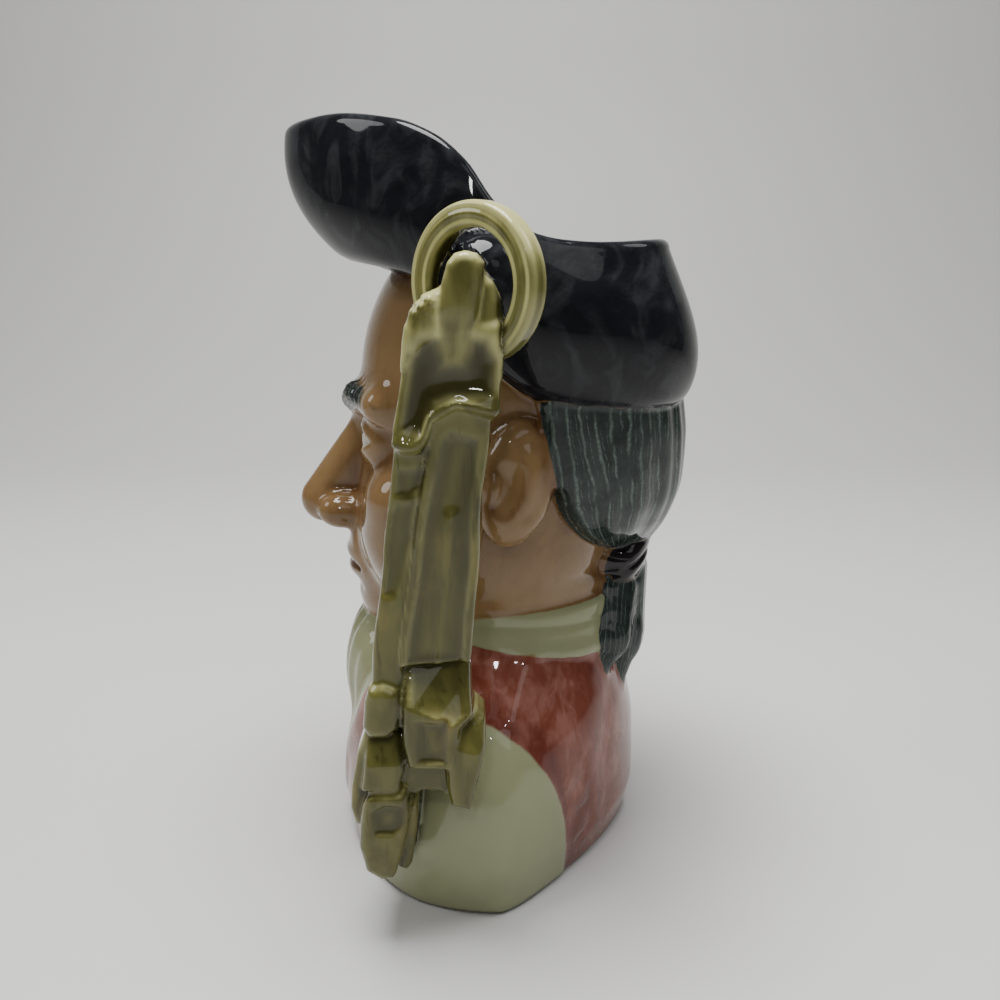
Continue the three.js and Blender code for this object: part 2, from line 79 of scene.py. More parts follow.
BUST = {
    "half_width": [(0, 47), (12, 48.5), (26, 48.5), (36, 47), (44, 43.5), (50, 39), (56, 34.5), (62, 31.5),
                   (74, 30)],
    "front": [(0, 41.5), (11, 42.5), (29, 41), (40, 39.5), (47, 38), (52, 36), (58, 32), (66, 27),
              (74, 25)],
    "back": [(0, 35.5), (11, 37.5), (29, 37), (40, 35), (48, 32.5), (56, 31), (74, 30)],
    "front_power": [(0, 2.1), (50, 2), (74, 2)],
    "back_power": [(0, 1.35), (20, 1.5), (45, 1.8), (60, 2), (74, 2)],
    "top": 74,
}
SLEEVE = {"middle": (-10, 8), "reach": (26.5, 38.5), "power": 2.2,
          "step": 0.9, "dome": 2.8, "dome_width": 17}
SHIRT_FRONT = [(14, 0), (21, 6), (34, 17), (50, 24), (60, 29)]
LAPEL = {"path": [(24, -29.5, 50), (17, -35, 34), (7, -40, 21), (4, -41, 9)], "width": 3.4, "height": 2.6}
CRAVAT = {"centre": (0, -31, 43), "radii": (18, 11.2, 21)}
CLOTH_PLEAT = 1.15
# Creases in the vest's side as (front to back, height), raised where the depth is below zero.
VEST_FOLDS = [
    {"path": [(9, 61), (5, 53), (3, 47)], "width": 2.4, "depth": -0.9},
    {"path": [(14, 60), (10, 52), (8.5, 44)], "width": 2.2, "depth": 0.5},
    {"path": [(17, 35), (20.5, 32), (20.7, 27), (17.5, 25)], "width": 1.2, "depth": 0.55},
    {"path": [(19, 27), (22.5, 24), (22.7, 19), (19.5, 17)], "width": 1.2, "depth": 0.55},
    {"path": [(19.5, 19), (23, 16), (23.2, 11), (20, 9)], "width": 1.2, "depth": 0.55},
    {"path": [(27, 42), (26, 30), (28, 12)], "width": 2.6, "depth": 0.5},
]
NECKBAND = {"side_top": 69, "back_top": 68.5, "side_foot": 64, "back_foot": 55, "proud": 1.1}

CRANIUM = {"centre": (0, 3, 122), "radii": (40, 38.5, 44)}
JAW = {"centre": (0, -4, 86), "radii": (36.5, 34, 33)}
CHEEK = {"centre": (20.5, -19.5, 88), "radii": (14, 13.5, 16)}
CHEEKBONE = {"centre": (25, -23, 97), "radii": (9, 7.5, 6)}
CHIN = {"centre": (0, -25.5, 66), "radii": (15, 12.5, 11.5)}
BROW = {"inner": (6, -34.5, 117.5), "outer": (25, -28, 118.5), "radius": 4.4}
BROW_TUFT = {"path": [(5.5, -37, 118), (14, -35.2, 120.2), (26.5, -28.6, 118.6)], "radii": (3.1, 2.3)}
SOCKET = {"centre": (16.5, -38, 109.5), "radii": (10, 6.5, 6.5)}
EYE = {"centre": (16.3, -25.3, 109.5), "radius": 8.6, "lid": 0.9, "half_width": 7.2,
       "above": 3.0, "below": 2.3}
NOSE = {"root": (0, -33, 113), "root_radius": 4, "tip": (0, -46.5, 90.5), "tip_radius": 6.4}
NOSE_WING = {"centre": (7.4, -41, 88.8), "radii": (4.8, 6.2, 4.6)}
NOSTRIL = {"centre": (4.6, -43.5, 84.9), "radii": (2.1, 3.2, 2.4)}
MUZZLE = {"centre": (0, -32.5, 78), "radii": (16, 7, 10)}
UPPER_LIP = {"centre": (0, -35.8, 78), "radii": (12.5, 5, 2.6)}
LOWER_LIP = {"centre": (0, -35.4, 73.4), "radii": (10.5, 5, 3)}
# The line of the mouth, the folds beside it, the groove over the lip and the crease under it.
FACE_FOLDS = [
    {"path": [(0, -41, 75.9), (7, -39.5, 75.7), (13, -35.5, 75.2)], "width": 1.1, "depth": 1.2},
    {"path": [(10.5, -39, 92), (13, -38, 86), (17.5, -35, 77)], "width": 2.2, "depth": 0.7},
    {"path": [(0, -42, 84.5), (0, -41, 80.5)], "width": 1.6, "depth": 0.7},
    {"path": [(0, -39, 68.6), (8, -37, 69.2)], "width": 2.2, "depth": 0.7},
]
EAR = {"centre": (41, 3.5, 103.5), "radii": (5.4, 9, 14.6), "lean": 12, "flare": 14}
EAR_BOWL = {"centre": (47.4, 1.6, 104.0), "radii": (3.2, 3.8, 7.4)}

HAIR = {
    "half_width": [(76, 9), (80, 15), (84, 24), (90, 33.5), (97, 39.5), (107, 42.5), (124, 43)],
    "back": [(76, 35), (80, 39.5), (84, 42), (90, 44.5), (100, 46.8), (110, 47), (124, 45.5)],
    "edge": [(76, 28), (80, 26), (87, 20), (95.5, 15), (107, 11.5), (118, 9.5), (124, 9)],
    "middle_y": 12,
    "power": 2.3,
    "foot": 76,
    "top": 126,
}
RIBBON = {"centre": (0, 31.6, 76), "radii": (16, 8.4, 10.2), "slant": 0.5}
QUEUE = [
    {"start": (3, 32, 72), "end": (7, 31, 54), "radius": 7.4, "end_radius": 7.4},
    {"start": (7, 31, 56), "end": (10, 31, 37), "radius": 7.2, "end_radius": 1.0},
    {"start": (9, 29.5, 68), "end": (16, 28, 57), "radius": 6.8, "end_radius": 5.6},
    {"start": (16, 28, 58), "end": (19, 25.4, 47), "radius": 5.6, "end_radius": 1.4},
    {"start": (-7, 31, 66), "end": (-15, 29, 49), "radius": 6.4, "end_radius": 2},
]

HAT = {
    "edge": [(-40, 151.5), (-30, 150.5), (-19, 148), (-8, 138), (1, 127), (9.5, 122.2), (21, 120.5),
             (47, 118.5)],
    "rim": [(-54, 183), (-40, 183), (-22, 180.5), (-13, 177), (-6, 171.5), (0, 163.5), (8, 157.5),
            (15, 156), (22, 155.6), (47, 157)],
    "lower": {"half_width": 43.5, "front": 37.5, "back": 44.2, "front_power": 2.1, "back_power": 3.0},
    "upper": {"half_width": 47, "front": 52, "back": 38.6, "front_power": 1.62, "back_power": 3.6},
    "front_swell": 2.6,
    "back_swell": 7.6,
    "edge_round": 1.6,
}
HAT_KNOB = {"centre": (52.4, -3.5, 147), "radii": (7.6, 9.6, 10.2)}
RING = {"centre": (62.3, -4.5, 147.6), "turn": -39, "radius": 12.8, "width": 5.4, "thickness": 5.0,
        "corner": 1.5, "ridge": 0.18, "ridge pitch": 2.1}

# Keys: outlines as (across the leaning line towards the back, height), and spans outwards from the line.
KEY_BOX = ((38.0, -37.0, 17.0), (77.0, 6.0, 158.0))
KEY_LINE = {"top": (66, -6.5, 156), "foot": (57.5, -22.2, 16)}
KEY_PIECES = {
    "block": {
        "outline": [(-8.8, 140), (-9.6, 130), (-10.2, 120.6), (-9.8, 117.4), (-8, 115.8), (-4.4, 115.7),
                    (-3.4, 118.4), (-2.4, 122.4), (1.6, 124.6), (6, 123.4), (8.8, 122.6), (9.9, 124),
                    (9.4, 134), (8.8, 141)],
        "out": (-6.5, 5.8), "round": 2.0},
    "left bow": {
        "outline": [(-2, 132), (-2, 147.2), (-3.8, 147), (-6.4, 145.9), (-8.5, 143.1), (-9, 139.5),
                    (-9.4, 132)],
        "out": (-5.6, 6.2), "round": 2.3},
    "middle bow": {
        "outline": [(-3.2, 126), (-3.3, 148.6), (-2.9, 151.6), (-1.7, 153.2), (0.3, 153.7), (2.4, 153.1),
                    (3.8, 151.4), (4.2, 147.5), (4.2, 126)],
        "out": (-7.6, 7.6), "round": 2.2, "slope": (0, 143, 7.6, -0.34, 0)},
    "right bow": {
        "outline": [(1.5, 130), (1.5, 150), (3.8, 149.8), (6.2, 148.2), (8.3, 144.6), (9.2, 139.5),
                    (9.6, 130)],
        "out": (-6, 5.2), "round": 2.6},
    "left shaft": {
        "outline": [(-10.2, 60), (-10.5, 85), (-9.8, 104), (-9.5, 122), (-3.2, 122), (-4, 92), (-3.9, 60)],
        "out": (-4.4, 3.4), "round": 1.6},
    "right shaft": {
        "outline": [(-4.6, 70), (-4.5, 84), (-3.6, 104), (-3.2, 126), (8.3, 126), (8.7, 108), (9.5, 85),
                    (10.1, 71)],
        "out": (-5.1, 4.5), "round": 1.6},
    "left collar": {
        "outline": [(-11.5, 56), (-11.6, 62), (-10.8, 65), (-7.7, 66.2), (-4.4, 64.8), (-3, 61.5),
                    (-3.4, 56), (-6, 53.5), (-10, 53.5)],
        "out": (-5.3, 5.6), "round": 2.7},
    "left bit": {
        "outline": [(-10.6, 40), (-10.6, 55), (-3.6, 55), (-1.6, 48), (-2.4, 40)],
        "out": (-9.1, 4.6), "round": 1.9, "slope": (-7, 47, 4.4, 0.5, 0)},
    "front tooth": {
        "outline": [(-11, 54), (-12.4, 48), (-13, 40), (-12.8, 34), (-11.5, 29.5), (-9.5, 30), (-9, 54)],
        "out": (-8.6, 1.2), "round": 1.6},
    "lower tooth": {
        "outline": [(-8.2, 42.5), (-9.8, 36.5), (-10.2, 26), (-8.4, 19.6), (-4.6, 17.2), (-1.6, 18),
                    (-0.6, 25), (0.6, 34), (-0.4, 40), (-4, 43)],
        "out": (-16.2, 5), "round": 2.2, "slope": (-5, 38.5, 5, 0.6, 0)},
    "back tooth": {
        "outline": [(-1.6, 15.5), (1, 15), (2, 18), (1.6, 33), (-1.6, 33)],
        "out": (-15.2, -1.5), "round": 1.4},
    "right bit": {
        "outline": [(-4.6, 72), (-3.2, 62), (-2.6, 52), (-1, 46.5), (8.5, 46.5), (9, 56), (11.5, 58),
                    (10.3, 66), (9.4, 72)],
        "out": (-8.1, 6.2), "round": 1.9, "slope": (0, 60.5, 6.2, 0.68, 0.3)},
    "right tooth": {
        "outline": [(6.8, 56), (7.2, 46), (8.6, 40), (9.6, 37), (13.6, 36), (14.6, 43), (15, 51),
                    (14.2, 56.5), (11.5, 59)],
        "out": (-10.2, 5.6), "round": 2.1, "slope": (11, 51, 5.4, 0.55, 0.15)},
    "right stub": {
        "outline": [(-3, 48), (-2.4, 40), (1.2, 37.5), (3, 38.6), (6.6, 38.4), (9, 37), (9, 48)],
        "out": (-18, 1.6), "round": 1.6},
}

# Hollows pressed into the keys' fronts: an outline, how far out the hollow's floor lies, its softness, and
# how much shade is painted in it.
KEY_HOLLOWS = {
    "block": {"outline": [(-7.6, 121), (-7.8, 131), (-7.4, 134.5), (-5, 137), (-3.6, 137), (-2.4, 132),
                          (3, 132), (4.4, 137), (5.8, 136.6), (7.6, 133.5), (7.8, 127.6), (0.6, 127.6),
                          (-3.4, 126), (-5, 120.4)], "floor": 3.8, "soft": 3.0, "shade": 1.0},
    "left panel top": {"outline": [(-8.2, 107.4), (-8.2, 112), (-3.9, 112), (-4.1, 108.8), (-5.8, 106.6)],
                       "floor": 2.7, "soft": 1.2, "shade": 0.25},
    "left panel": {"outline": [(-9.3, 86), (-8.8, 103), (-7.8, 105), (-5, 105), (-4.9, 98), (-7.6, 86)],
                   "floor": 2.7, "soft": 1.4, "shade": 0.25},
    "right panel": {"outline": [(-2.8, 71), (-2.8, 86), (-1.4, 103), (0, 118), (1.2, 119.4), (5.8, 118),
                                (6.5, 104), (7.2, 86), (7.9, 71)], "floor": 3.3, "soft": 1.6, "shade": 0.3},
    "bit": {"outline": [(0.6, 48.5), (0.2, 58), (6, 57.6), (6.8, 48.5)],
            "floor": 5.2, "soft": 1.4, "shade": 0.35},
    "tooth": {"outline": [(-6.4, 30.2), (-7.4, 35.4), (-4.8, 37.2), (-1, 36.6), (-0.4, 32.6), (-2.6, 30)],
              "floor": 4.0, "soft": 1.2, "shade": 0.45},
}
KEY_BLEND = 1.2
KEY_LIP = [(-9.2, 117.6), (-6.2, 116.9), (-4.2, 118.2), (-3, 122.6), (1.8, 125.6), (6, 124.6), (9, 124)]
KEY_RIDGE = [(3.1, 103), (2.6, 92), (3.2, 72)]

# ---- Settings a user would change ----


class JugBodySettings(bpy.types.PropertyGroup):
    columns: IntProperty(
        name="Columns", description="Mesh columns round the jug", default=288, min=72, max=400)
    coarse: IntProperty(
        name="Inside step", description="Outer columns to each inner column", default=3, min=2, max=6)
    relax: IntProperty(
        name="Relax", description="Times the mesh is evened out over the form", default=6, min=0, max=30)


class JugHandleSettings(bpy.types.PropertyGroup):
    voxel: FloatProperty(
        name="Grid", description="Mesh grid of the keys", default=0.00072,
        min=0.0004, max=0.003, unit="LENGTH")
    ring_steps: IntProperty(
        name="Ring steps", description="Steps round the ring", default=120, min=24, max=240)
    fillet: FloatProperty(
        name="Fillet", description="Glaze-filled corner where the handle meets the jug", default=0.0026,
        min=0.0005, max=0.006, unit="LENGTH")


# Colours that the brush lays over or beside the main ones, some of them painted shade, highlight or
# reflection.
TINTS = {
    "speckle": (0.16, 0.07, 0.035),
    "eye white": (0.50, 0.475, 0.40),
    # Painted shade: the eye's white darkens to this in its hollow corners.
    "eye corner": (0.25, 0.16, 0.10),
    "iris": (0.07, 0.095, 0.095),
    "pupil": (0.006, 0.006, 0.006),
    "brow": (0.022, 0.028, 0.027),
    "brow light": (0.115, 0.125, 0.10),
    # Painted shade in the linen's folds and hollows.
    "linen fold": (0.14, 0.15, 0.085),
    "linen cool": (0.235, 0.255, 0.155),
    "hair wash": (0.034, 0.046, 0.042),
    "brass warm": (0.23, 0.18, 0.052),
    # Painted reflection: faint pale patches over the hat's black.
    "hat mottle": (0.026, 0.028, 0.031),
    # Painted highlight along the hat's edges, where the black glaze also thins.
    "hat edge": (0.045, 0.036, 0.030),
    "lining": (0.56, 0.545, 0.44),
    # Painted shadow along the lowest millimetre, where the foot meets the floor.
    "foot": (0.10, 0.085, 0.06),
}


def paint(name, description, colour):
    return FloatVectorProperty(
        name=name, description=description, default=colour, size=3, min=0, max=1, subtype="COLOR")


class JugGlazeSettings(bpy.types.PropertyGroup):
    skin: paint("Skin", "Thin wash over the face", (0.235, 0.146, 0.064))
    # Painted shade in the face's hollows, where the wash also pools; the cheeks, nose tip and lips are
    # tinted with it too.
    skin_deep: paint("Skin shade", "The wash where it pools", (0.100, 0.043, 0.015))
    hat: paint("Hat", "Black with a little blue", (0.0085, 0.009, 0.0115))
    hair: paint("Hair", "Slate green", (0.0125, 0.019, 0.0165))
    hair_light: paint("Hair lines", "Pale lines where the glaze breaks", (0.145, 0.185, 0.165))
    ribbon: paint("Ribbon", "Brown black", (0.010, 0.0075, 0.0085))
    linen: paint("Linen", "Greenish cream", (0.280, 0.290, 0.165))
    vest: paint("Vest", "Brushed red", (0.185, 0.052, 0.032))
    vest_light: paint("Vest light", "Mauve where the brush ran thin", (0.31, 0.135, 0.105))
    # Painted shade in the vest's hollows and along the armhole, where the red also pools; also the brush's
    # darker strokes.
    vest_deep: paint("Vest shade", "The red where it pools", (0.085, 0.013, 0.009))
    keys: paint("Keys", "Olive brass", (0.122, 0.118, 0.032))
    # Painted light: the keys' tops that face up, their ridges, and the bows and ring turn pale towards
    # this.
    keys_light: paint("Keys light", "Pale tops of the keys", (0.56, 0.54, 0.23))
    # Painted shade in the keys' hollows and recesses, where the glaze also pools; also the darker brushed
    # tone and streaks.
    keys_deep: paint("Keys shade", "Dark olive in the recesses", (0.036, 0.032, 0.008))
    roughness: FloatProperty(
        name="Roughness", description="Roughness under the clear glaze", default=0.32, min=0, max=1,
        subtype="FACTOR")


class JugStageSettings(bpy.types.PropertyGroup):
    lens: FloatProperty(
        name="Lens", description="Camera focal length in millimetres", default=34.7, min=10, max=200)
    distance: FloatProperty(
        name="Distance", description="Camera distance from the jug's middle plane", default=0.250,
        unit="LENGTH")
    height: FloatProperty(
        name="Height", description="Camera height over the floor", default=0.152, unit="LENGTH")
    pitch: FloatProperty(
        name="Pitch", description="How far the camera looks down", default=math.radians(14),
        subtype="ANGLE")


# ---- Fields: negative inside a form, positive outside it, in millimetres ----


def points(array):
    return SimpleNamespace(x=array[:, 0], y=array[:, 1], z=array[:, 2])


def curve(pairs):
    """A smooth curve through (position, value) pairs that never overshoots them."""
    place, value = np.array(pairs, dtype=float).T
    rise = np.diff(value) / np.diff(place)
    slope = np.zeros(len(place))
    before, after = rise[:-1], rise[1:]
    same = before * after > 0
    slope[1:-1] = np.where(same, 2 * before * after / np.where(same, before + after, 1), 0)

    def at(position):
        position = np.clip(position, place[0], place[-1])
        i = np.clip(np.searchsorted(place, position, side="right") - 1, 0, len(place) - 2)
        step = place[i + 1] - place[i]
        t = (position - place[i]) / step
        start = value[i] * (1 + 2 * t) * (1 - t) ** 2 + slope[i] * step * t * (1 - t) ** 2
        end = value[i + 1] * t * t * (3 - 2 * t) + slope[i + 1] * step * t * t * (t - 1)
        return start + end

    return at


def lerp(a, b, t):
    return a + (b - a) * t


def soft_step(low, high, value):
    t = np.clip((value - low) / (high - low), 0, 1)
    return t * t * (3 - 2 * t)


def join(a, b, blend):
    overlap = np.maximum(blend - np.abs(a - b), 0) / blend
    return np.minimum(a, b) - overlap * overlap * blend / 4


def within(a, b, blend):
    return -join(-a, -b, blend)


def carve(a, b, blend):
    return -join(-a, b, blend)


def ellipsoid(p, centre, radii):
    dx, dy, dz = p.x - centre[0], p.y - centre[1], p.z - centre[2]
    near = np.sqrt((dx / radii[0]) ** 2 + (dy / radii[1]) ** 2 + (dz / radii[2]) ** 2)
    far = np.sqrt((dx / radii[0] ** 2) ** 2 + (dy / radii[1] ** 2) ** 2 + (dz / radii[2] ** 2) ** 2)
    return near * (near - 1) / np.maximum(far, 1e-9)


def along(p, start, end):
    """How far along a line each point lies, from 0 to 1, and its distance from the line."""
    axis = np.subtract(end, start).astype(float)
    dx, dy, dz = p.x - start[0], p.y - start[1], p.z - start[2]
    t = np.clip((dx * axis[0] + dy * axis[1] + dz * axis[2]) / axis.dot(axis), 0, 1)
    distance = np.sqrt((dx - axis[0] * t) ** 2 + (dy - axis[1] * t) ** 2 + (dz - axis[2] * t) ** 2)
    return t, distance


def taper(p, start, end, start_radius, end_radius):
    t, distance = along(p, start, end)
    return distance - lerp(start_radius, end_radius, t)


def groove(p, path, width, depth):
    """A soft groove along a path of points, as a height to add to a field; ridges are negative."""
    nearest = np.min([along(p, a, b)[1] for a, b in zip(path, path[1:])], axis=0)
    return depth * np.exp(-(nearest / width) ** 2)


def oval(x, y, half_width, front, back, power):
    reach = np.where(y < 0, front, back)
    return (np.abs(x / half_width) ** power + np.abs(y / reach) ** power) ** (1 / power)


def turned(p, centre, lean, flare):
    """Points in the frame of a form that leans back about X and flares about Z."""
    x, y, z = p.x - centre[0], p.y - centre[1], p.z - centre[2]
    c, s = math.cos(math.radians(flare)), math.sin(math.radians(flare))
    x, y = c * x + s * y, c * y - s * x
    c, s = math.cos(math.radians(lean)), math.sin(math.radians(lean))
    y, z = c * y - s * z, c * z + s * y
    return SimpleNamespace(x=x, y=y, z=z)


BUST_AT = {key: curve(BUST[key]) for key in ("half_width", "front", "back", "front_power", "back_power")}
HAIR_AT = {key: curve(HAIR[key]) for key in ("half_width", "back", "edge")}
HAT_EDGE = curve(HAT["edge"])
HAT_RIM = curve(HAT["rim"])
SHIRT_AT = curve(SHIRT_FRONT)


def bust(p):
    half_width = BUST_AT["half_width"](p.z)
    power = np.where(p.y < 0, BUST_AT["front_power"](p.z), BUST_AT["back_power"](p.z))
    size = oval(p.x, p.y, half_width, BUST_AT["front"](p.z), BUST_AT["back"](p.z), power)
    return within((size - 1) * half_width, p.z - BUST["top"], 3)


def sleeve_reach(m):
    """1 at the armhole's edge and 0 at the middle of the sleeve, seen from the side."""
    y, z = SLEEVE["middle"]
    wide, high = SLEEVE["reach"]
    return oval(m.y - y, m.z - z, wide, high, high, SLEEVE["power"])


def sleeve_area(m):
    """Distance inside the armhole's edge, in millimetres."""
    return np.minimum((1 - sleeve_reach(m)) * SLEEVE["reach"][0], (m.x - 16) * 0.6)


def shirt_area(m):
    """Distance inside the open front of the vest."""
    return np.where(m.y < 0, SHIRT_AT(m.z) - m.x, -9.0)


def trunk(p, m):
    """The bust with its domed sleeves and rolled lapels."""
    inside = sleeve_area(m)
    dome = SLEEVE["step"] * soft_step(-0.8, 0.8, inside)
    dome = dome + SLEEVE["dome"] * soft_step(0, SLEEVE["dome_width"], inside)
    folds = groove(m, LAPEL["path"], LAPEL["width"], -LAPEL["height"])
    folds = folds + 0.35 * np.sin(m.x * CLOTH_PLEAT) * soft_step(0, 3, shirt_area(m)) * (m.z < 58)
    return bust(p) - dome + folds + vest_folds(m)


def vest_folds(m):
    """Soft creases in the vest beside the armhole and a fold running down from the neck."""
    side = SimpleNamespace(x=np.zeros_like(m.x), y=m.y, z=m.z)
    folds = 0
    for fold in VEST_FOLDS:
        folds = folds + groove(side, [(0, *place) for place in fold["path"]], fold["width"], fold["depth"])
    return folds * (m.x > 12)


def neckband_heights(p):
    back = np.clip((p.y + 20) / 50, 0, 1)
    top = lerp(NECKBAND["side_top"], NECKBAND["back_top"], back)
    foot = lerp(NECKBAND["side_foot"], NECKBAND["back_foot"], back)
    return foot, top


def neckband(p):
    foot, top = neckband_heights(p)
    height = np.clip(p.z, foot, top)
    half_width = BUST_AT["half_width"](height)
    size = oval(p.x, p.y, half_width, BUST_AT["front"](height), BUST_AT["back"](height), 2)
    fold = 0.35 * np.exp(-(((p.z - lerp(foot, top, 0.62)) / 1.1) ** 2))
    band = (size - 1) * half_width - NECKBAND["proud"] + fold
    return within(within(band, p.z - top, 1.5), foot - p.z, 1.2)


def lid_opening(m):
    """The almond between an eye's lids, seen from the front."""
    x, z = m.x - EYE["centre"][0], m.z - EYE["centre"][2]
    wide = EYE["half_width"]
    discs = []
    for side, reach in ((1, EYE["above"]), (-1, EYE["below"])):
        radius = (wide ** 2 + reach ** 2) / (2 * reach)
        discs.append(np.hypot(x, z + side * (radius - reach)) - radius)
    return np.maximum(*discs)


def eye(m):
    ball = ellipsoid(m, EYE["centre"], (EYE["radius"],) * 3)
    lids = ball - EYE["lid"]
    return join(ball, within(lids, -lid_opening(m), 1.0), 0.5)


def brow_tuft(m):
    """An eyebrow: a raised tuft with a stroke for each few hairs."""
    near, far = BROW_TUFT["radii"]
    inner, middle, outer = BROW_TUFT["path"]
    half = (near + far) / 2 + 0.3
    tuft = np.minimum(taper(m, inner, middle, near, half), taper(m, middle, outer, half, far))
    return tuft + 0.3 * np.sin(2.4 * m.x + 1.3 * m.z) * (m.z > 110)


def ear(m):
    inner = turned(m, EAR["centre"], EAR["lean"], EAR["flare"])
    shell = ellipsoid(inner, (0, 0, 0), EAR["radii"])
    bowl = turned(m, EAR_BOWL["centre"], EAR["lean"], 0)
    shell = carve(shell, ellipsoid(bowl, (0, 0, 0), EAR_BOWL["radii"]), 2.4)
    rim = [(4.6, 4.9 * math.cos(a) + 0.8, 9.4 * math.sin(a) + 1.6) for a in np.linspace(-1.1, 2.5, 11)]
    shell = shell + groove(inner, rim, 1.5, 1.0)
    tragus = ellipsoid(inner, (2.6, -5.8, -1.4), (2.2, 1.7, 3.4))
    return join(shell, tragus, 1.2)


def face(p, m):
    d = join(ellipsoid(p, **CRANIUM), ellipsoid(p, **JAW), 10)
    for form, blend in ((CHEEK, 6), (CHEEKBONE, 7), (CHIN, 6), (MUZZLE, 6)):
        d = join(d, ellipsoid(m, **form), blend)
    d = join(d, taper(m, BROW["inner"], BROW["outer"], BROW["radius"], BROW["radius"]), 5)
    d = carve(d, ellipsoid(m, **SOCKET), 5)
    d = join(d, brow_tuft(m), 0.9)
    d = join(d, eye(m), 1.5)
    d = join(d, taper(p, NOSE["root"], NOSE["tip"], NOSE["root_radius"], NOSE["tip_radius"]), 5)
    d = join(d, ellipsoid(m, **NOSE_WING), 2.4)
    d = carve(d, ellipsoid(m, **NOSTRIL), 1.2)
    for lip in (UPPER_LIP, LOWER_LIP):
        d = join(d, ellipsoid(m, **lip), 1.8)
    for fold in FACE_FOLDS:
        d = d + groove(m, **fold)
    return join(d, ear(m), 1.6)


def hair(p):
    half_width = HAIR_AT["half_width"](p.z)
    reach = HAIR_AT["back"](p.z) - HAIR["middle_y"]
    size = oval(p.x, p.y - HAIR["middle_y"], half_width, reach, reach, HAIR["power"])
    strand = hair_strand(p)
    locks = 0.22 * np.sin(strand * 2.1 + np.sin(strand * 0.7)) + 0.25 * np.sin(strand * 0.8 + p.z * 0.05)
    bag = (size - 1) * np.minimum(half_width, reach) + locks
    bag = within(bag, HAIR_AT["edge"](p.z) - p.y, 2.4)
    return within(within(bag, HAIR["foot"] - p.z, 4), p.z - HAIR["top"], 2)


def hair_strand(p):
    """Which strand a point of the bag of hair lies on; the strands draw together at the ribbon."""
    half_width = HAIR_AT["half_width"](p.z)
    reach = HAIR_AT["back"](p.z) - HAIR["middle_y"]
    edge = HAIR_AT["edge"](p.z) - HAIR["middle_y"]
    wide = half_width * (1 - np.clip(edge / reach, 0, 0.98) ** HAIR["power"]) ** (1 / HAIR["power"])
    widest = np.arctan2(wide, edge)
    return np.arctan2(p.x, p.y - HAIR["middle_y"]) / widest * 21


def ribbon(p):
    rise = p.z - RIBBON["slant"] * (p.y - RIBBON["centre"][1])
    d = ellipsoid(SimpleNamespace(x=p.x, y=p.y, z=rise), RIBBON["centre"], RIBBON["radii"])
    up = rise - RIBBON["centre"][2]
    return d + 1.1 * np.exp(-((up + 1.2) / 0.9) ** 2) - 0.6 * np.exp(-(((up - 3) / 2.6) ** 2))


def queue(p):
    d = None
    for lock in QUEUE:
        one = taper(p, lock["start"], lock["end"], lock["radius"], lock["end_radius"])
        d = one if d is None else join(d, one, 1.6)
    return d + 0.22 * np.sin(queue_strand(p) * 2.1)


def queue_strand(p):
    """Which strand of its own lock a point of the queue lies on."""
    nearest = np.full(p.x.shape, 1e9)
    strand = np.zeros(p.x.shape)
    for lock in QUEUE:
        t, _ = along(p, lock["start"], lock["end"])
        own = taper(p, lock["start"], lock["end"], lock["radius"], lock["end_radius"])
        dx = p.x - lerp(lock["start"][0], lock["end"][0], t)
        dy = p.y - lerp(lock["start"][1], lock["end"][1], t)
        strand = np.where(own < nearest, np.arctan2(dx - dy, dx + dy) * 4.6, strand)
        nearest = np.minimum(nearest, own)
    return strand


def plan_reach(x, y, plan):
    """The reach of a plan outline from the axis along the direction (x, y)."""
    length = np.maximum(np.hypot(x, y), 1e-9)
    power = np.where(y < 0, plan["front_power"], plan["back_power"])
    return 1 / oval(x / length, y / length, plan["half_width"], plan["front"], plan["back"], power)


def hat_heights(x, y):
    length = np.maximum(np.hypot(x, y), 1e-9)
    edge = HAT_EDGE(y / length * plan_reach(x, y, HAT["lower"]))
    rim = HAT_RIM(y / length * plan_reach(x, y, HAT["upper"]))
    return edge, rim


def hat_reach(x, y, height):
    rise = np.clip(height, 0, 1)
    opening = 1 - (1 - rise) ** 2
    back = ((y / np.maximum(np.hypot(x, y), 1e-9) + 1) / 2) ** 2
    swell = lerp(HAT["front_swell"], HAT["back_swell"], back) * np.sin(math.pi * rise ** 0.75)
    return lerp(plan_reach(x, y, HAT["lower"]), plan_reach(x, y, HAT["upper"]), opening) + swell


def hat(p):
    edge, rim = hat_heights(p.x, p.y)
    side = np.hypot(p.x, p.y) - hat_reach(p.x, p.y, (p.z - edge) / (rim - edge))
    return within(side, edge - p.z, HAT["edge_round"] * 2)


def body_parts(p):
    """Each painted part of the body as its own field."""
    m = SimpleNamespace(x=np.abs(p.x), y=p.y, z=p.z)
    foot, top = neckband_heights(p)
    figure = trunk(p, m)
    middle = (foot + top) / 2
    cravat = ellipsoid(p, **CRAVAT) + 0.3 * np.sin(p.x * CLOTH_PLEAT)
    below = p.z - middle
    return {
        "skin": join(face(p, m), within(figure, -below, 0.5), 3),
        "vest": within(figure, below, 0.5),
        "linen": join(neckband(p), cravat, 1.5),
        "hair": hair(p),
        "ribbon": ribbon(p),
        "queue": queue(p),
        "hat": join(hat(p), ellipsoid(p, **HAT_KNOB), 2),
    }


def body(p):
    parts = body_parts(p)
    d = join(parts["vest"], parts["linen"], 2.0)
    for name, blend in (("skin", 1.5), ("hair", 1.2), ("queue", 1.5), ("ribbon", 1.0), ("hat", 1.0)):
        d = join(d, parts[name], blend)
    return d


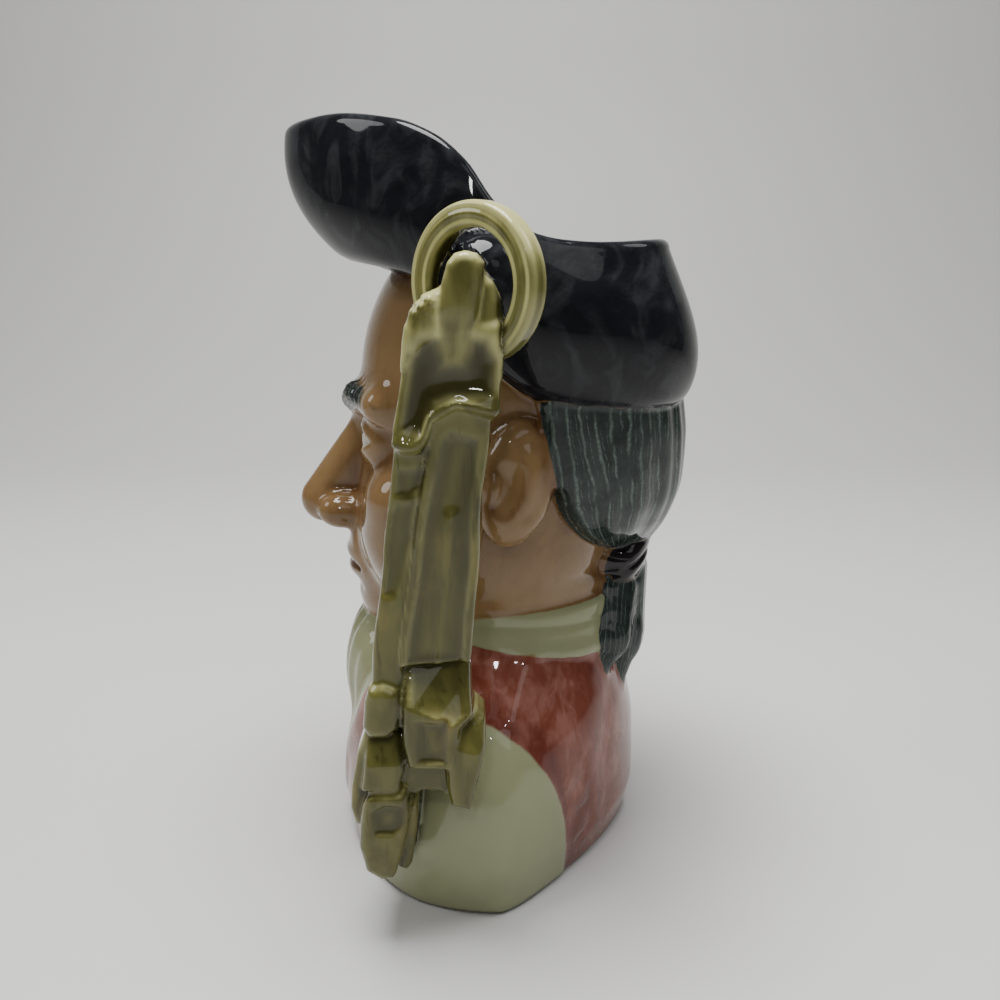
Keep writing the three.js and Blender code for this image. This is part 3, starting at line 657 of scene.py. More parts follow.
def plain_body(p):
    """What the wall's inside follows: the body with none of its small forms."""
    m = SimpleNamespace(x=np.abs(p.x), y=p.y, z=p.z)
    d = join(ellipsoid(p, **CRANIUM), ellipsoid(p, **JAW), 10)
    plain = bust(p) - SLEEVE["dome"] * soft_step(0, SLEEVE["dome_width"], sleeve_area(m))
    d = join(d, plain, 8)
    return join(d, hat(p), 1)


# ---- The keys' field ----


def hand_worked(p):
    """The slight, broad unevenness that a thumb leaves in clay, across and outwards."""
    across = np.sin(0.17 * p.z + 0.21 * p.x + 1.3) + 0.6 * np.sin(0.31 * p.z - 0.13 * p.y)
    out = np.sin(0.14 * p.z + 0.24 * p.y) + 0.6 * np.sin(0.33 * p.y - 0.26 * p.z + 2)
    return 0.22 * across, 0.16 * out


def key_frame(p):
    """Points as distances across the keys' leaning line and outwards from it."""
    t = (KEY_LINE["top"][2] - p.z) / (KEY_LINE["top"][2] - KEY_LINE["foot"][2])
    across = p.y - lerp(KEY_LINE["top"][1], KEY_LINE["foot"][1], t)
    out = p.x - lerp(KEY_LINE["top"][0], KEY_LINE["foot"][0], t)
    return across, out


def outline_field(across, height, outline):
    """Distance from a closed outline, negative inside it."""
    nearest = np.full(across.shape, 1e9)
    inside = np.zeros(across.shape, dtype=bool)
    for (x0, y0), (x1, y1) in zip(outline, outline[1:] + outline[:1]):
        ex, ey = x1 - x0, y1 - y0
        dx, dy = across - x0, height - y0
        t = np.clip((dx * ex + dy * ey) / (ex * ex + ey * ey), 0, 1)
        nearest = np.minimum(nearest, np.hypot(dx - ex * t, dy - ey * t))
        crosses = (y0 > height) != (y1 > height)
        if ey:
            inside ^= crosses & (across < x0 + ex * (height - y0) / ey)
    return np.where(inside, -nearest, nearest)


def rounded(a, b, edge):
    """Where two slabs that are drawn in by edge meet, with that much rounding put back on."""
    return np.hypot(np.maximum(a, 0), np.maximum(b, 0)) + np.minimum(np.maximum(a, b), 0) - edge


def key_piece(across, height, out, piece):
    """A thick plate with rounded edges, whose front may slope back towards its top."""
    edge = piece["round"]
    low, high = piece["out"]
    side = outline_field(across, height, piece["outline"]) + edge
    front = out - high
    if "slope" in piece:
        a, z, top, lean, sideways = piece["slope"]
        plane = out - (top - lean * (height - z) - sideways * (across - a))
        front = np.maximum(front, plane / math.hypot(1, lean, sideways))
    return rounded(side, np.maximum(front, low - out) + edge, edge)


def key_shade(p):
    """How much shade is painted at a point in one of the keys' hollows, where the glaze also pools, from 0
    to 1.
    """
    across, out = key_frame(p)
    shade = np.zeros(p.x.shape)
    for hollow in KEY_HOLLOWS.values():
        side = outline_field(across, p.z, hollow["outline"])
        shade = np.maximum(shade, hollow["shade"] * soft_step(1.6, -2.4, side) * soft_step(-2, 0, out))
    return shade


def line_distance(across, height, path):
    flat = SimpleNamespace(x=across, y=height, z=np.zeros_like(across))
    return np.min([along(flat, (*a, 0), (*b, 0))[1] for a, b in zip(path, path[1:])], axis=0)


def keys(p):
    across, out = key_frame(p)
    sideways, outwards = hand_worked(p)
    across, out = across + sideways, out + outwards
    d = None
    for piece in KEY_PIECES.values():
        own = key_piece(across, p.z, out, piece)
        d = own if d is None else join(d, own, KEY_BLEND)
    for hollow in KEY_HOLLOWS.values():
        side = outline_field(across, p.z, hollow["outline"])
        d = carve(d, within(side, hollow["floor"] - out, hollow["soft"]), hollow["soft"])
    front = out > 0
    d = d - 0.75 * np.exp(-((line_distance(across, p.z, KEY_LIP) / 1.0) ** 2)) * front
    d = d - 0.8 * np.exp(-((line_distance(across, p.z, KEY_RIDGE) / 1.0) ** 2)) * front
    wound = np.exp(-(((across + 6) / 2.4) ** 2) - (((p.z - 144.4) / 2.2) ** 2)) * front
    return d + 0.28 * wound * np.sin(3.3 * p.z + 1.7 * across)


def ring(p):
    turn = math.radians(RING["turn"])
    x, y = p.x - RING["centre"][0], p.y - RING["centre"][1]
    axial = x * math.cos(turn) + y * math.sin(turn)
    flat = y * math.cos(turn) - x * math.sin(turn)
    radial = np.hypot(flat, p.z - RING["centre"][2]) - RING["radius"]
    edge = RING["corner"]
    beside = np.abs(axial) - RING["width"] / 2 + edge
    across = np.abs(radial) - RING["thickness"] / 2 + edge
    return rounded(beside, across, edge)


def handle(p):
    """The ring and the keys, worked out only near them."""
    d = np.full(p.x.shape, 60.0)
    near = (p.x > 36) & (np.abs(p.y + 10) < 32)
    if near.any():
        q = SimpleNamespace(x=p.x[near], y=p.y[near], z=p.z[near])
        d[near] = np.minimum(keys(q), ring(q))
    return d


def filled(own, other, blend):
    """A form's field with its corner against another one filled."""
    overlap = np.maximum(blend - np.abs(own - other), 0) / blend
    return own - overlap * overlap * blend / 4


# ---- The body's mesh ----

FARTHEST = 62.0
BUST_ROWS = 51
HEAD_ROWS = 132
HAT_ROWS = 36
LIP_ROWS = 8
INSIDE_ROWS = 40
CORNER_ROWS = 4


def radial_points(radius, angle, z):
    return np.stack([radius * np.sin(angle), AXIS_Y - radius * np.cos(angle), z], axis=-1)


def outer_reach(field, angle, z):
    """Where a level ray from the axis last leaves a form."""
    step = 1.5
    outer = np.full(angle.shape, FARTHEST)
    found = np.zeros(angle.shape, dtype=bool)
    while not found.all() and outer.max() > step:
        todo = ~found
        value = field(points(radial_points(outer[todo], angle[todo], z[todo])))
        hit = value <= 0
        rows = np.flatnonzero(todo)
        found[rows[hit]] = True
        outer[rows[~hit]] -= step
    low, high = outer.copy(), outer + step
    for _ in range(9):
        middle = (low + high) / 2
        outside = field(points(radial_points(middle, angle, z))) > 0
        high = np.where(outside, middle, high)
        low = np.where(outside, low, middle)
    return (low + high) / 2


def inner_reach(angle, z, rim):
    """The wall's inside: the outside moved in by a round tool of the wall's thickness."""
    smallest = np.full(angle.shape, FARTHEST)
    for dz in np.linspace(-WALL, WALL, 9):
        outside = outer_reach(plain_body, angle, np.minimum(z + dz, rim))
        smallest = np.minimum(smallest, outside - math.sqrt(max(WALL * WALL - dz * dz, 0)))
    return smallest


def column_angles(count):
    """Angles from the front, set closer together over the face."""
    u = np.arange(count) / count
    return 2 * math.pi * u - 0.36 * np.sin(2 * math.pi * u)


def head_rows(count):
    """Steps up the head, set closer together round the mouth, nose and eyes."""
    t = np.arange(1, count + 1) / count

    def wave(position):
        return np.sin(2 * math.pi * (position - 0.33)) / (2 * math.pi)

    return t - 0.35 * (wave(t) - wave(0))


def gradient(field, array, step=0.15):
    slopes = []
    for axis in range(3):
        offset = np.zeros(3)
        offset[axis] = step
        slopes.append(field(points(array + offset)) - field(points(array - offset)))
    return np.stack(slopes, axis=-1) / (2 * step)


def settle(field, array, times=2):
    """Moves points straight onto a form's surface."""
    for _ in range(times):
        slope = gradient(field, array)
        size = np.maximum((slope ** 2).sum(axis=-1), 0.05)
        array = array - slope * (field(points(array)) / size)[:, None]
    return array


def even_out(grid, field, times):
    """Slides a grid of points over the surface until its cells are even, then settles it."""
    rows, columns, _ = grid.shape
    for _ in range(times):
        around = (np.roll(grid, 1, axis=1) + np.roll(grid, -1, axis=1)) / 2
        target = grid.copy()
        target[1:-1] = (around[1:-1] + (grid[:-2] + grid[2:]) / 2) / 2
        inner = grid[1:-1].reshape(-1, 3)
        move = (target[1:-1].reshape(-1, 3) - inner) * 0.6
        slope = gradient(field, inner)
        normal = slope / np.maximum(np.linalg.norm(slope, axis=-1, keepdims=True), 1e-6)
        move -= normal * (move * normal).sum(axis=-1, keepdims=True)
        grid[1:-1] = (inner + move).reshape(rows - 2, columns, 3)
        grid[1:-1] = settle(field, grid[1:-1].reshape(-1, 3), 1).reshape(rows - 2, columns, 3)
    return grid


def outside_grid(settings, field):
    """The outer skin as rows of points from the foot's edge to the rim."""
    angle = column_angles(settings.columns)
    edge, rim = hat_heights(np.sin(angle), -np.cos(angle))
    lip_foot = rim - WALL / 2
    bust_rows = np.linspace(BASE_EDGE, COLLAR_HEIGHT, BUST_ROWS + 1)[:-1]
    rows = [np.full(angle.shape, height) for height in bust_rows]
    rows += [lerp(COLLAR_HEIGHT, edge + 0.4, t) for t in np.concatenate([[0], head_rows(HEAD_ROWS)])]
    rows += [lerp(edge + 0.4, lip_foot, t) for t in np.arange(1, HAT_ROWS + 1) / HAT_ROWS]
    z = np.array(rows)
    angles = np.broadcast_to(angle, z.shape)
    reach = outer_reach(field, angles.ravel(), z.ravel())
    grid = radial_points(reach, angles.ravel(), z.ravel()).reshape(*z.shape, 3)
    return even_out(grid, field, settings.relax), angle, lip_foot


def ring_faces(lower, upper):
    """Quads between two rows of vertex numbers, or fans where the upper row is coarser."""
    step = len(lower) // len(upper)
    faces = []
    for i in range(len(upper)):
        fine = [lower[(i * step + k) % len(lower)] for k in range(step + 1)]
        faces.append(fine + [upper[(i + 1) % len(upper)], upper[i]])
    return faces


def body_mesh(settings, field):
    """The body as rows from the underside's middle, up the outside and down the inside."""
    outside, angle, lip_foot = outside_grid(settings, field)
    coarse = settings.coarse
    rows = []
    foot = outside[0]
    outward = np.stack([np.sin(angle), -np.cos(angle), 0 * angle], axis=-1)
    for turn in (1.0, 0.5):
        lowered = foot - outward * BASE_EDGE * (1 - math.sin(math.pi / 2 * (1 - turn)))
        lowered[:, 2] = BASE_EDGE * (1 - math.cos(math.pi / 2 * (1 - turn)))
        rows.append(lowered)
    sole = rows[0][::coarse]
    centre = np.array([0, AXIS_Y, 0])
    under = [centre + (sole - centre) * size for size in (0.3, 0.6, 0.85)]
    rows = under + rows + list(outside)
    lip = outside[-1]
    for t in np.arange(1, LIP_ROWS) / LIP_ROWS:
        rolled = lip + outward * (WALL / 2) * (math.cos(math.pi * t) - 1)
        rolled[:, 2] = lip[:, 2] + WALL / 2 * math.sin(math.pi * t)
        rows.append(rolled)
    inner_angle = angle[::coarse]
    top = lip_foot[::coarse]
    shoulder = (lip - outward * WALL)[::coarse]
    rows.append(shoulder)
    bottom = FLOOR + WALL
    reach = np.hypot(shoulder[:, 0], shoulder[:, 1] - AXIS_Y)
    for t in np.arange(1, INSIDE_ROWS + 1) / INSIDE_ROWS:
        z = lerp(top, bottom, t)
        reach = inner_reach(inner_angle, z, top)
        rows.append(radial_points(reach, inner_angle, z))
    for turn in np.arange(1, CORNER_ROWS + 1) / CORNER_ROWS:
        angle_down = math.pi / 2 * turn
        z = np.full(inner_angle.shape, bottom - WALL * math.sin(angle_down))
        rows.append(radial_points(reach - WALL * (1 - math.cos(angle_down)), inner_angle, z))
    floor = rows[-1]
    centre = np.array([0, AXIS_Y, FLOOR])
    rows += [centre + (floor - centre) * size for size in (0.7, 0.35)]
    return stitch(rows, (0, AXIS_Y, 0), (0, AXIS_Y, FLOOR))


def stitch(rows, first_pole, last_pole):
    """Closes rows of points into one skin with a pole at each end."""
    vertices = [np.array([first_pole])]
    numbers = []
    total = 1
    for row in rows:
        numbers.append(list(range(total, total + len(row))))
        vertices.append(row)
        total += len(row)
    vertices.append(np.array([last_pole]))
    faces = [[0, numbers[0][(i + 1) % len(numbers[0])], numbers[0][i]] for i in range(len(numbers[0]))]
    for lower, upper in zip(numbers, numbers[1:]):
        if len(lower) >= len(upper):
            faces += ring_faces(lower, upper)
        else:
            faces += [face[::-1] for face in ring_faces(upper, lower)]
    last = numbers[-1]
    faces += [[total, last[i], last[(i + 1) % len(last)]] for i in range(len(last))]
    return np.concatenate(vertices), faces


def make_object(name, vertices, faces):
    mesh = bpy.data.meshes.new(name)
    mesh.from_pydata((vertices * MM).tolist(), [], faces)
    mesh.validate()
    solid = bmesh.new()
    solid.from_mesh(mesh)
    bmesh.ops.recalc_face_normals(solid, faces=solid.faces)
    solid.to_mesh(mesh)
    solid.free()
    thing = bpy.data.objects.new(name, mesh)
    bpy.context.scene.collection.objects.link(thing)
    return thing


# ---- The keys' and the ring's meshes ----


def keys_mesh(spacing, field):
    """The keys' field sampled on a grid and turned into a skin that is then settled on it."""
    low, high = np.array(KEY_BOX)
    counts = np.ceil((high - low) / spacing).astype(int)
    axes = [low[i] + np.arange(counts[i]) * spacing for i in range(3)]
    places = np.stack(np.meshgrid(*axes, indexing="ij"), axis=-1).reshape(-1, 3)
    values = field(points(places)).reshape(counts).astype(np.float32)
    grid = openvdb.FloatGrid(background=9.0)
    grid.copyFromArray(np.clip(values, -3, 9), tolerance=0.0)
    vertices, _, quads = grid.convertToPolygons(isovalue=0.0, adaptivity=0.0)
    return settle(field, low + np.array(vertices, dtype=float) * spacing), np.array(quads).tolist()


def ring_tree():
    """Nodes that sweep a round-edged band along a circle."""
    tree = bpy.data.node_groups.new("Key ring", "GeometryNodeTree")
    for name in ("Radius", "Width", "Thickness", "Corner", "Ridge", "Ridge pitch"):
        tree.interface.new_socket(name, in_out="INPUT", socket_type="NodeSocketFloat")
    tree.interface.new_socket("Steps", in_out="INPUT", socket_type="NodeSocketInt")
    tree.interface.new_socket("Material", in_out="INPUT", socket_type="NodeSocketMaterial")
    tree.interface.new_socket("Geometry", in_out="OUTPUT", socket_type="NodeSocketGeometry")
    nodes = NodeMaker(tree)
    given = nodes.make("NodeGroupInput")
    circle = nodes.make(
        "GeometryNodeCurvePrimitiveCircle", Resolution=given["Steps"], Radius=given["Radius"])
    section = nodes.make(
        "GeometryNodeCurvePrimitiveQuadrilateral", Width=given["Thickness"], Height=given["Width"])
    rounded = nodes.make(
        "GeometryNodeFilletCurve", {"mode": "POLY"},
        Curve=section["Curve"], Count=4, Radius=given["Corner"])
    cut = nodes.make("GeometryNodeResampleCurve", Curve=rounded["Curve"], Count=44)
    place = nodes.make("ShaderNodeSeparateXYZ", Vector=nodes.make("GeometryNodeInputPosition")["Position"])
    wave = (place["X"] * (2 * math.pi) / given["Ridge pitch"]).math("COSINE")
    offset = nodes.make("ShaderNodeCombineXYZ", Y=place["Y"] / given["Width"] * 2.0 * wave * given["Ridge"])
    ridged = nodes.make("GeometryNodeSetPosition", Geometry=cut["Curve"], Offset=offset["Vector"])
    swept = nodes.make(
        "GeometryNodeCurveToMesh", Curve=circle["Curve"], **{"Profile Curve": ridged["Geometry"]})
    real = nodes.make("GeometryNodeRealizeInstances", Geometry=swept["Mesh"])
    coated = nodes.make("GeometryNodeSetMaterial", Geometry=real["Geometry"], Material=given["Material"])
    nodes.make("NodeGroupOutput", Geometry=coated["Geometry"])
    return tree


def grown(name, tree, inputs):
    """A plain mesh object made by a tree of nodes from its named inputs."""
    seed = bpy.data.objects.new(name + " seed", bpy.data.meshes.new(name + " seed"))
    bpy.context.scene.collection.objects.link(seed)
    modifier = seed.modifiers.new("Nodes", "NODES")
    modifier.node_group = tree
    sockets = {item.name: item.identifier for item in tree.interface.items_tree if item.in_out == "INPUT"}
    for key, value in inputs.items():
        modifier[sockets[key]] = value
    evaluated = seed.evaluated_get(bpy.context.evaluated_depsgraph_get())
    mesh = bpy.data.meshes.new_from_object(evaluated)
    bpy.data.objects.remove(seed)
    thing = bpy.data.objects.new(name, mesh)
    bpy.context.scene.collection.objects.link(thing)
    return thing


def united(whole, *others):
    """Joins closed meshes into one skin."""
    for other in others:
        modifier = whole.modifiers.new("Join", "BOOLEAN")
        modifier.operation = "UNION"
        modifier.solver = "MANIFOLD"
        modifier.object = other
    evaluated = whole.evaluated_get(bpy.context.evaluated_depsgraph_get())
    mesh = bpy.data.meshes.new_from_object(evaluated)
    whole.modifiers.clear()
    whole.data = mesh
    for other in others:
        bpy.data.objects.remove(other)
    return whole


# ---- Where each colour of the glaze lies ----


def paint_regions(array):
    """For each colour, how far inside its own area a point of the surface lies."""
    p = points(array)
    m = SimpleNamespace(x=np.abs(p.x), y=p.y, z=p.z)
    parts = body_parts(p)
    parts["keys"] = handle(p)
    regions = {}
    for name, own in parts.items():
        others = np.min([field for key, field in parts.items() if key != name], axis=0)
        regions[name] = others - own
    linen = np.maximum(sleeve_area(m), shirt_area(m))
    regions["linen"] = np.maximum(regions["linen"], np.minimum(regions["vest"], linen))
    across = np.abs(m.x - EYE["centre"][0])
    up = m.z - EYE["centre"][2]
    regions["eye"] = np.where(m.y < -25, -lid_opening(m), -9)
    regions["eye_centre"] = np.where(m.y < -25, np.hypot(across, up), 20)
    regions["brow"] = np.where(m.y < -20, 0.35 - brow_tuft(m), -9)
    lips = np.minimum(ellipsoid(p, **UPPER_LIP), ellipsoid(p, **LOWER_LIP))
    regions["lips"] = np.where(p.y < -34, 0.9 - lips, -9)
    _, rim = hat_heights(p.x, p.y - AXIS_Y)
    regions["rim_depth"] = rim - p.z
    regions["armhole"] = -sleeve_area(m)
    regions["key_shade"] = key_shade(p)
    regions["shaft"] = soft_step(140, 124, p.z)
    regions["height"] = p.z
    regions["inner"] = np.where((body(p) < -1.5) | (p.z < 0.1), 1.0, -1.0)
    regions["strand"] = np.where(parts["hair"] < parts["queue"], hair_strand(p), queue_strand(p))
    return regions


def write_attributes(thing, values):
    mesh = thing.data
    for name, data in values.items():
        attribute = mesh.attributes.new(name, "FLOAT", "POINT")
        attribute.data.foreach_set("value", np.asarray(data, dtype=np.float32))


def vertex_array(thing):
    flat = np.empty(len(thing.data.vertices) * 3)
    thing.data.vertices.foreach_get("co", flat)
    return flat.reshape(-1, 3) / MM


# ---- Shader nodes ----


class NodeMaker:
    """Makes nodes in a tree from their type, settings and the values or links of their inputs."""

    def __init__(self, tree):
        self.tree = tree

    def make(self, kind, settings=None, **inputs):
        node = self.tree.nodes.new(kind)
        for name, value in (settings or {}).items():
            if name == "stops":
                set_stops(node.color_ramp, value)
            else:
                setattr(node, name, value)
        for name, value in inputs.items():
            key = int(name[1:]) if name[:1] == "_" else name
            plug(self.tree, node.inputs[key], value)
        return Outputs(self, node)


def set_stops(ramp, stops):
    while len(ramp.elements) < len(stops):
        ramp.elements.new(0.5)
    for element, (position, colour) in zip(ramp.elements, stops):
        element.position = position
        element.color = (*colour, 1) if len(colour) == 3 else colour


def plug(tree, socket, value):
    if isinstance(value, Value):
        tree.links.new(value.socket, socket)
    elif value is not None:
        if socket.type == "RGBA" and len(value) == 3:
            value = (*value, 1)
        socket.default_value = value


class Outputs:
    """A made node, whose outputs are read by name or number."""

    def __init__(self, maker, node):
        self.maker = maker
        self.node = node

    def __getitem__(self, key):
        return Value(self.maker, self.node.outputs[key])


class Value:
    """A socket whose sums and products add Math nodes."""

    def __init__(self, maker, socket):
        self.maker = maker
        self.socket = socket

    def math(self, operation, *others):
        inputs = {"_%d" % (i + 1): other for i, other in enumerate(others)}
        return self.maker.make("ShaderNodeMath", {"operation": operation}, _0=self, **inputs)[0]

    def reflected(self, operation, other):
        return self.maker.make("ShaderNodeMath", {"operation": operation}, _0=other, _1=self)[0]

    def __add__(self, other):
        return self.math("ADD", other)

    def __radd__(self, other):
        return self.reflected("ADD", other)

    def __sub__(self, other):
        return self.math("SUBTRACT", other)

    def __rsub__(self, other):
        return self.reflected("SUBTRACT", other)

    def __mul__(self, other):
        return self.math("MULTIPLY", other)

    def __rmul__(self, other):
        return self.reflected("MULTIPLY", other)

    def __truediv__(self, other):
        return self.math("DIVIDE", other)

    def most(self, other):
        return self.math("MAXIMUM", other)

    def between(self, low, high):
        """A soft step from 0 at low to 1 at high."""
        return self.maker.make(
            "ShaderNodeMapRange", {"interpolation_type": "SMOOTHSTEP"},
            Value=self, **{"From Min": low, "From Max": high})["Result"]


class Painter(NodeMaker):
    """The glaze's shared building blocks: colours, areas and noise over the jug's own surface."""

    def __init__(self, material):
        super().__init__(material.node_tree)
        self.place = self.make("ShaderNodeTexCoord")["Object"]

    def attribute(self, name):
        return self.make("ShaderNodeAttribute", {"attribute_name": name})["Fac"]

    def mix(self, factor, a, b):
        return self.make("ShaderNodeMix", {"data_type": "RGBA"}, _0=factor, _6=a, _7=b)[2]

    def noise(self, size, detail=3.0, stretch=(1, 1, 1), distortion=0.0):
        """Noise from 0 to 1 whose blotches are about size millimetres across."""
        scale = tuple(part / (size * MM) for part in stretch)
        place = self.make("ShaderNodeMapping", Vector=self.place, Scale=scale)["Vector"]
        noise = self.make(
            "ShaderNodeTexNoise", Vector=place, Scale=1.0, Detail=detail, Roughness=0.55,
            Distortion=distortion)
        return noise["Fac"]

    def area(self, name, edge=0.22, wobble=0.5, inset=0.0):
        """1 inside a painted area and 0 outside it, with a hand-drawn edge."""
        wander = (self.noise(5.0, 2.0) - 0.5) * (2 * wobble)
        return (self.attribute(name) + wander - inset).between(-edge, edge)


def hair_lines(painter):
    """Pale broken lines along the strands, as the glaze breaks on their ridges: 1 in a line, 0 off it."""
    wander = (painter.noise(13.0, 2.0) - 0.5) * 1.5 + (painter.noise(3.0, 2.0) - 0.5) * 0.3
    strand = painter.attribute("strand") + wander
    broken = painter.noise(5.0, 3.0, (1, 1, 0.5))
    broad = (strand * 0.95).math("PINGPONG", 0.5) * 2.0
    fine = (strand * 2.3 + 0.3).math("PINGPONG", 0.5) * 2.0
    grit = painter.noise(0.7, 2.0).between(0.35, 0.65)
    return (
        broad.between(0.66, 0.95) * broken.between(0.34, 0.54) * (grit * 0.5 + 0.5),
        fine.between(0.70, 0.96) * broken.between(0.40, 0.58) * grit,
    )


def skin_colour(painter, glaze, hollow, cloud):
    speckle = painter.noise(2.2, 4.0)
    brush = painter.noise(6.0, 4.0, (1, 1, 0.5), 0.6)
    # Painted shade and the wash's pooling in the hollows, mixed with cloudy and brushed tone.
    pooling_and_shade = (hollow * 1.5 + (cloud - 0.5) * 1.1 + (brush - 0.5) * 1.1 + 0.12).between(0.0, 1.1)
    colour = painter.mix(pooling_and_shade * 0.9, glaze.skin, glaze.skin_deep)
    flush = painter.attribute("flush") * (0.2 + speckle * 0.5)
    colour = painter.mix(flush, colour, glaze.skin_deep)
    colour = painter.mix(speckle.between(0.52, 0.75) * 0.16, colour, TINTS["speckle"])
    colour = painter.mix(painter.area("lips", 0.5, 0.3) * 0.5, colour, glaze.skin_deep)
    # Painted shade: the eye's white darkens towards the corner tint in its hollow corners.
    white = painter.mix(hollow.between(0.1, 0.9), TINTS["eye white"], TINTS["eye corner"])
    centre = painter.attribute("eye_centre")
    white = painter.mix(1 - centre.between(2.7, 3.0), white, TINTS["iris"])
    white = painter.mix(1 - centre.between(1.3, 1.6), white, TINTS["pupil"])
    return painter.mix(painter.area("eye", 0.2, 0.0), colour, white)


def vest_colour(painter, glaze, hollow, cloud):
    strokes = painter.noise(11.0, 4.0, (1, 1, 0.55), 1.0)
    grain = painter.noise(3.2, 4.0, (1, 1, 0.4), 0.5)
    thin = (strokes + (grain - 0.5) * 0.6).between(0.42, 0.72)
    red = painter.mix(thin * 0.8, glaze.vest, glaze.vest_light)
    red = painter.mix((1 - strokes).between(0.52, 0.75) * 0.7, red, glaze.vest_deep)
    # Painted shadow along the armhole under the proud sleeve, and painted shade in the hollows where the
    # red also pools.
    rim = 1 - painter.attribute("armhole").between(1.0, 9.0)
    pooling_and_shade = (hollow * 0.9 + rim * 0.8 + (cloud - 0.5) * 1.2).between(0.1, 1.1)
    return painter.mix(pooling_and_shade, red, glaze.vest_deep)


def key_colour(painter, glaze, hollow, ridge, cloud):
    shaft = painter.attribute("shaft")
    brush = painter.noise(7.0, 3.0, (1.2, 1.2, 0.4), 0.5)
    streak = (painter.noise(2.6, 3.0, (1.3, 1.3, 0.12), 0.3) - 0.5) * shaft + 0.5
    upward = painter.attribute("upward")
    shade = painter.mix(0.5, glaze.keys, glaze.keys_deep)
    brass = painter.mix(brush.between(0.36, 0.62), shade, glaze.keys)
    brass = painter.mix(cloud.between(0.5, 0.7) * 0.4, brass, TINTS["brass warm"])
    brass = painter.mix(streak.between(0.60, 0.72) * 0.5, brass, glaze.keys_deep)
    # Painted light: tops that face up and ridges are lightened, the bows and ring above the shafts more
    # than the shafts.
    lit = ridge * 1.2 + upward.between(0.05, 0.9) + (brush - 0.5) * 0.5 + 0.3 - shaft * 0.7
    brass = painter.mix(lit.between(0.15, 1.2) * 0.9, brass, glaze.keys_light)
    # Painted shade in the hollows and pressed recesses, as well as glaze pooling there.
    pooling_and_shade = hollow * 1.6 + painter.attribute("key_shade") * 0.8 + (brush - 0.5) * 0.9 - 0.1
    return painter.mix(pooling_and_shade.between(0.0, 0.9) * 0.9, brass, glaze.keys_deep)


def glaze_material(glaze):
    material = bpy.data.materials.new("Painted glaze")
    material.use_nodes = True
    material.node_tree.nodes.clear()
    painter = Painter(material)
    hollow = painter.attribute("hollow")
    ridge = painter.attribute("ridge")
    cloud = painter.noise(16.0, 4.0)
    speckle = painter.noise(2.6, 3.0)

    colour = skin_colour(painter, glaze, hollow, cloud)
    tuft = (painter.noise(1.6, 3.0, (1, 1, 0.6)) - 0.5).math("ABSOLUTE") * 2.0
    brow = painter.mix(tuft.between(0.03, 0.4), TINTS["brow"], TINTS["brow light"])
    brow_area = painter.area("brow", 0.3, 0.5)
    colour = painter.mix(brow_area, colour, brow)

    red = vest_colour(painter, glaze, hollow, cloud)
    colour = painter.mix(painter.area("vest", 0.25, 0.4), colour, red)

    # Painted shade: the linen darkens in its folds and hollows.
    cream = painter.mix(hollow.between(0.1, 1.2), glaze.linen, TINTS["linen fold"])
    cream = painter.mix(cloud.between(0.45, 0.75) * 0.45, cream, TINTS["linen cool"])
    colour = painter.mix(painter.area("linen", 0.25, 0.3), colour, cream)

    broad, fine = hair_lines(painter)
    slate = painter.mix(painter.noise(5.0, 4.0).between(0.3, 0.7), glaze.hair, TINTS["hair wash"])
    slate = painter.mix((broad * 0.85).most(fine * 0.6), slate, glaze.hair_light)
    hair_area = painter.area("hair", 0.25, 0.5).most(painter.area("queue", 0.25, 0.3))
    colour = painter.mix(hair_area, colour, slate)
    colour = painter.mix(painter.area("ribbon", 0.25, 0.2), colour, glaze.ribbon)

    # Painted reflection: soft pale patches in the hat's black stand in for the glaze's mottled reflections.
    reflection_patches = painter.noise(9.0, 5.0, (1, 1, 0.8), 1.2)
    black = painter.mix(reflection_patches.between(0.42, 0.70), glaze.hat, TINTS["hat mottle"])
    # Painted highlight along the hat's ridged edges, where the black glaze also thins.
    black = painter.mix(ridge.between(0.4, 1.0) * 0.6, black, TINTS["hat edge"])
    hat_area = painter.area("hat", 0.25, 0.4)
    colour = painter.mix(hat_area, colour, black)

    inside = painter.attribute("inner").between(-0.3, 0.3)
    depth = painter.attribute("rim_depth") + (painter.noise(14.0, 1.0) - 0.5) * 3.0
    lining = painter.mix(depth.between(6.0, 8.5), glaze.hat, TINTS["lining"])
    colour = painter.mix(inside, colour, lining)

    brass = key_colour(painter, glaze, hollow, ridge, cloud)
    colour = painter.mix(painter.area("keys", 0.25, 0.2), colour, brass)

    foot = painter.attribute("height")
    # Painted shadow: the lowest millimetre darkens where the foot meets the floor.
    foot_shadow = 1 - (foot + (painter.noise(6.0) - 0.5) * 1.4).between(0.6, 1.6)
    colour = painter.mix(foot_shadow * foot.between(0.02, 0.06) * 0.8, colour, TINTS["foot"])

    lines = (broad * 0.22 + fine * 0.12) * hair_area
    swell = (painter.noise(13.0, 2.0) - 0.5) * 0.55 + (painter.noise(4.5, 2.0) - 0.5) * 0.09
    dents = ((painter.noise(17.0, 2.0) - 0.5) * 4.2 + (painter.noise(6.0, 3.0) - 0.5) * 1.0) * hat_area
    height = swell + (lines + dents + brow_area * tuft * 0.35) * (1 - inside)
    bump = painter.make("ShaderNodeBump", Strength=1.0, Distance=MM, Height=height)["Normal"]
    gloss = 1 - hat_area * 0.42 - hair_area * 0.25
    shader = painter.make(
        "ShaderNodeBsdfPrincipled", Roughness=glaze.roughness + (speckle - 0.5) * 0.12, Normal=bump,
        **{"Base Color": colour, "Specular IOR Level": 0.0, "Coat Weight": gloss,
           "Coat Roughness": 0.04, "Coat IOR": 1.42, "IOR": 1.5})
    painter.make("ShaderNodeOutputMaterial", Surface=shader["BSDF"])
    return material


# ---- Operators ----


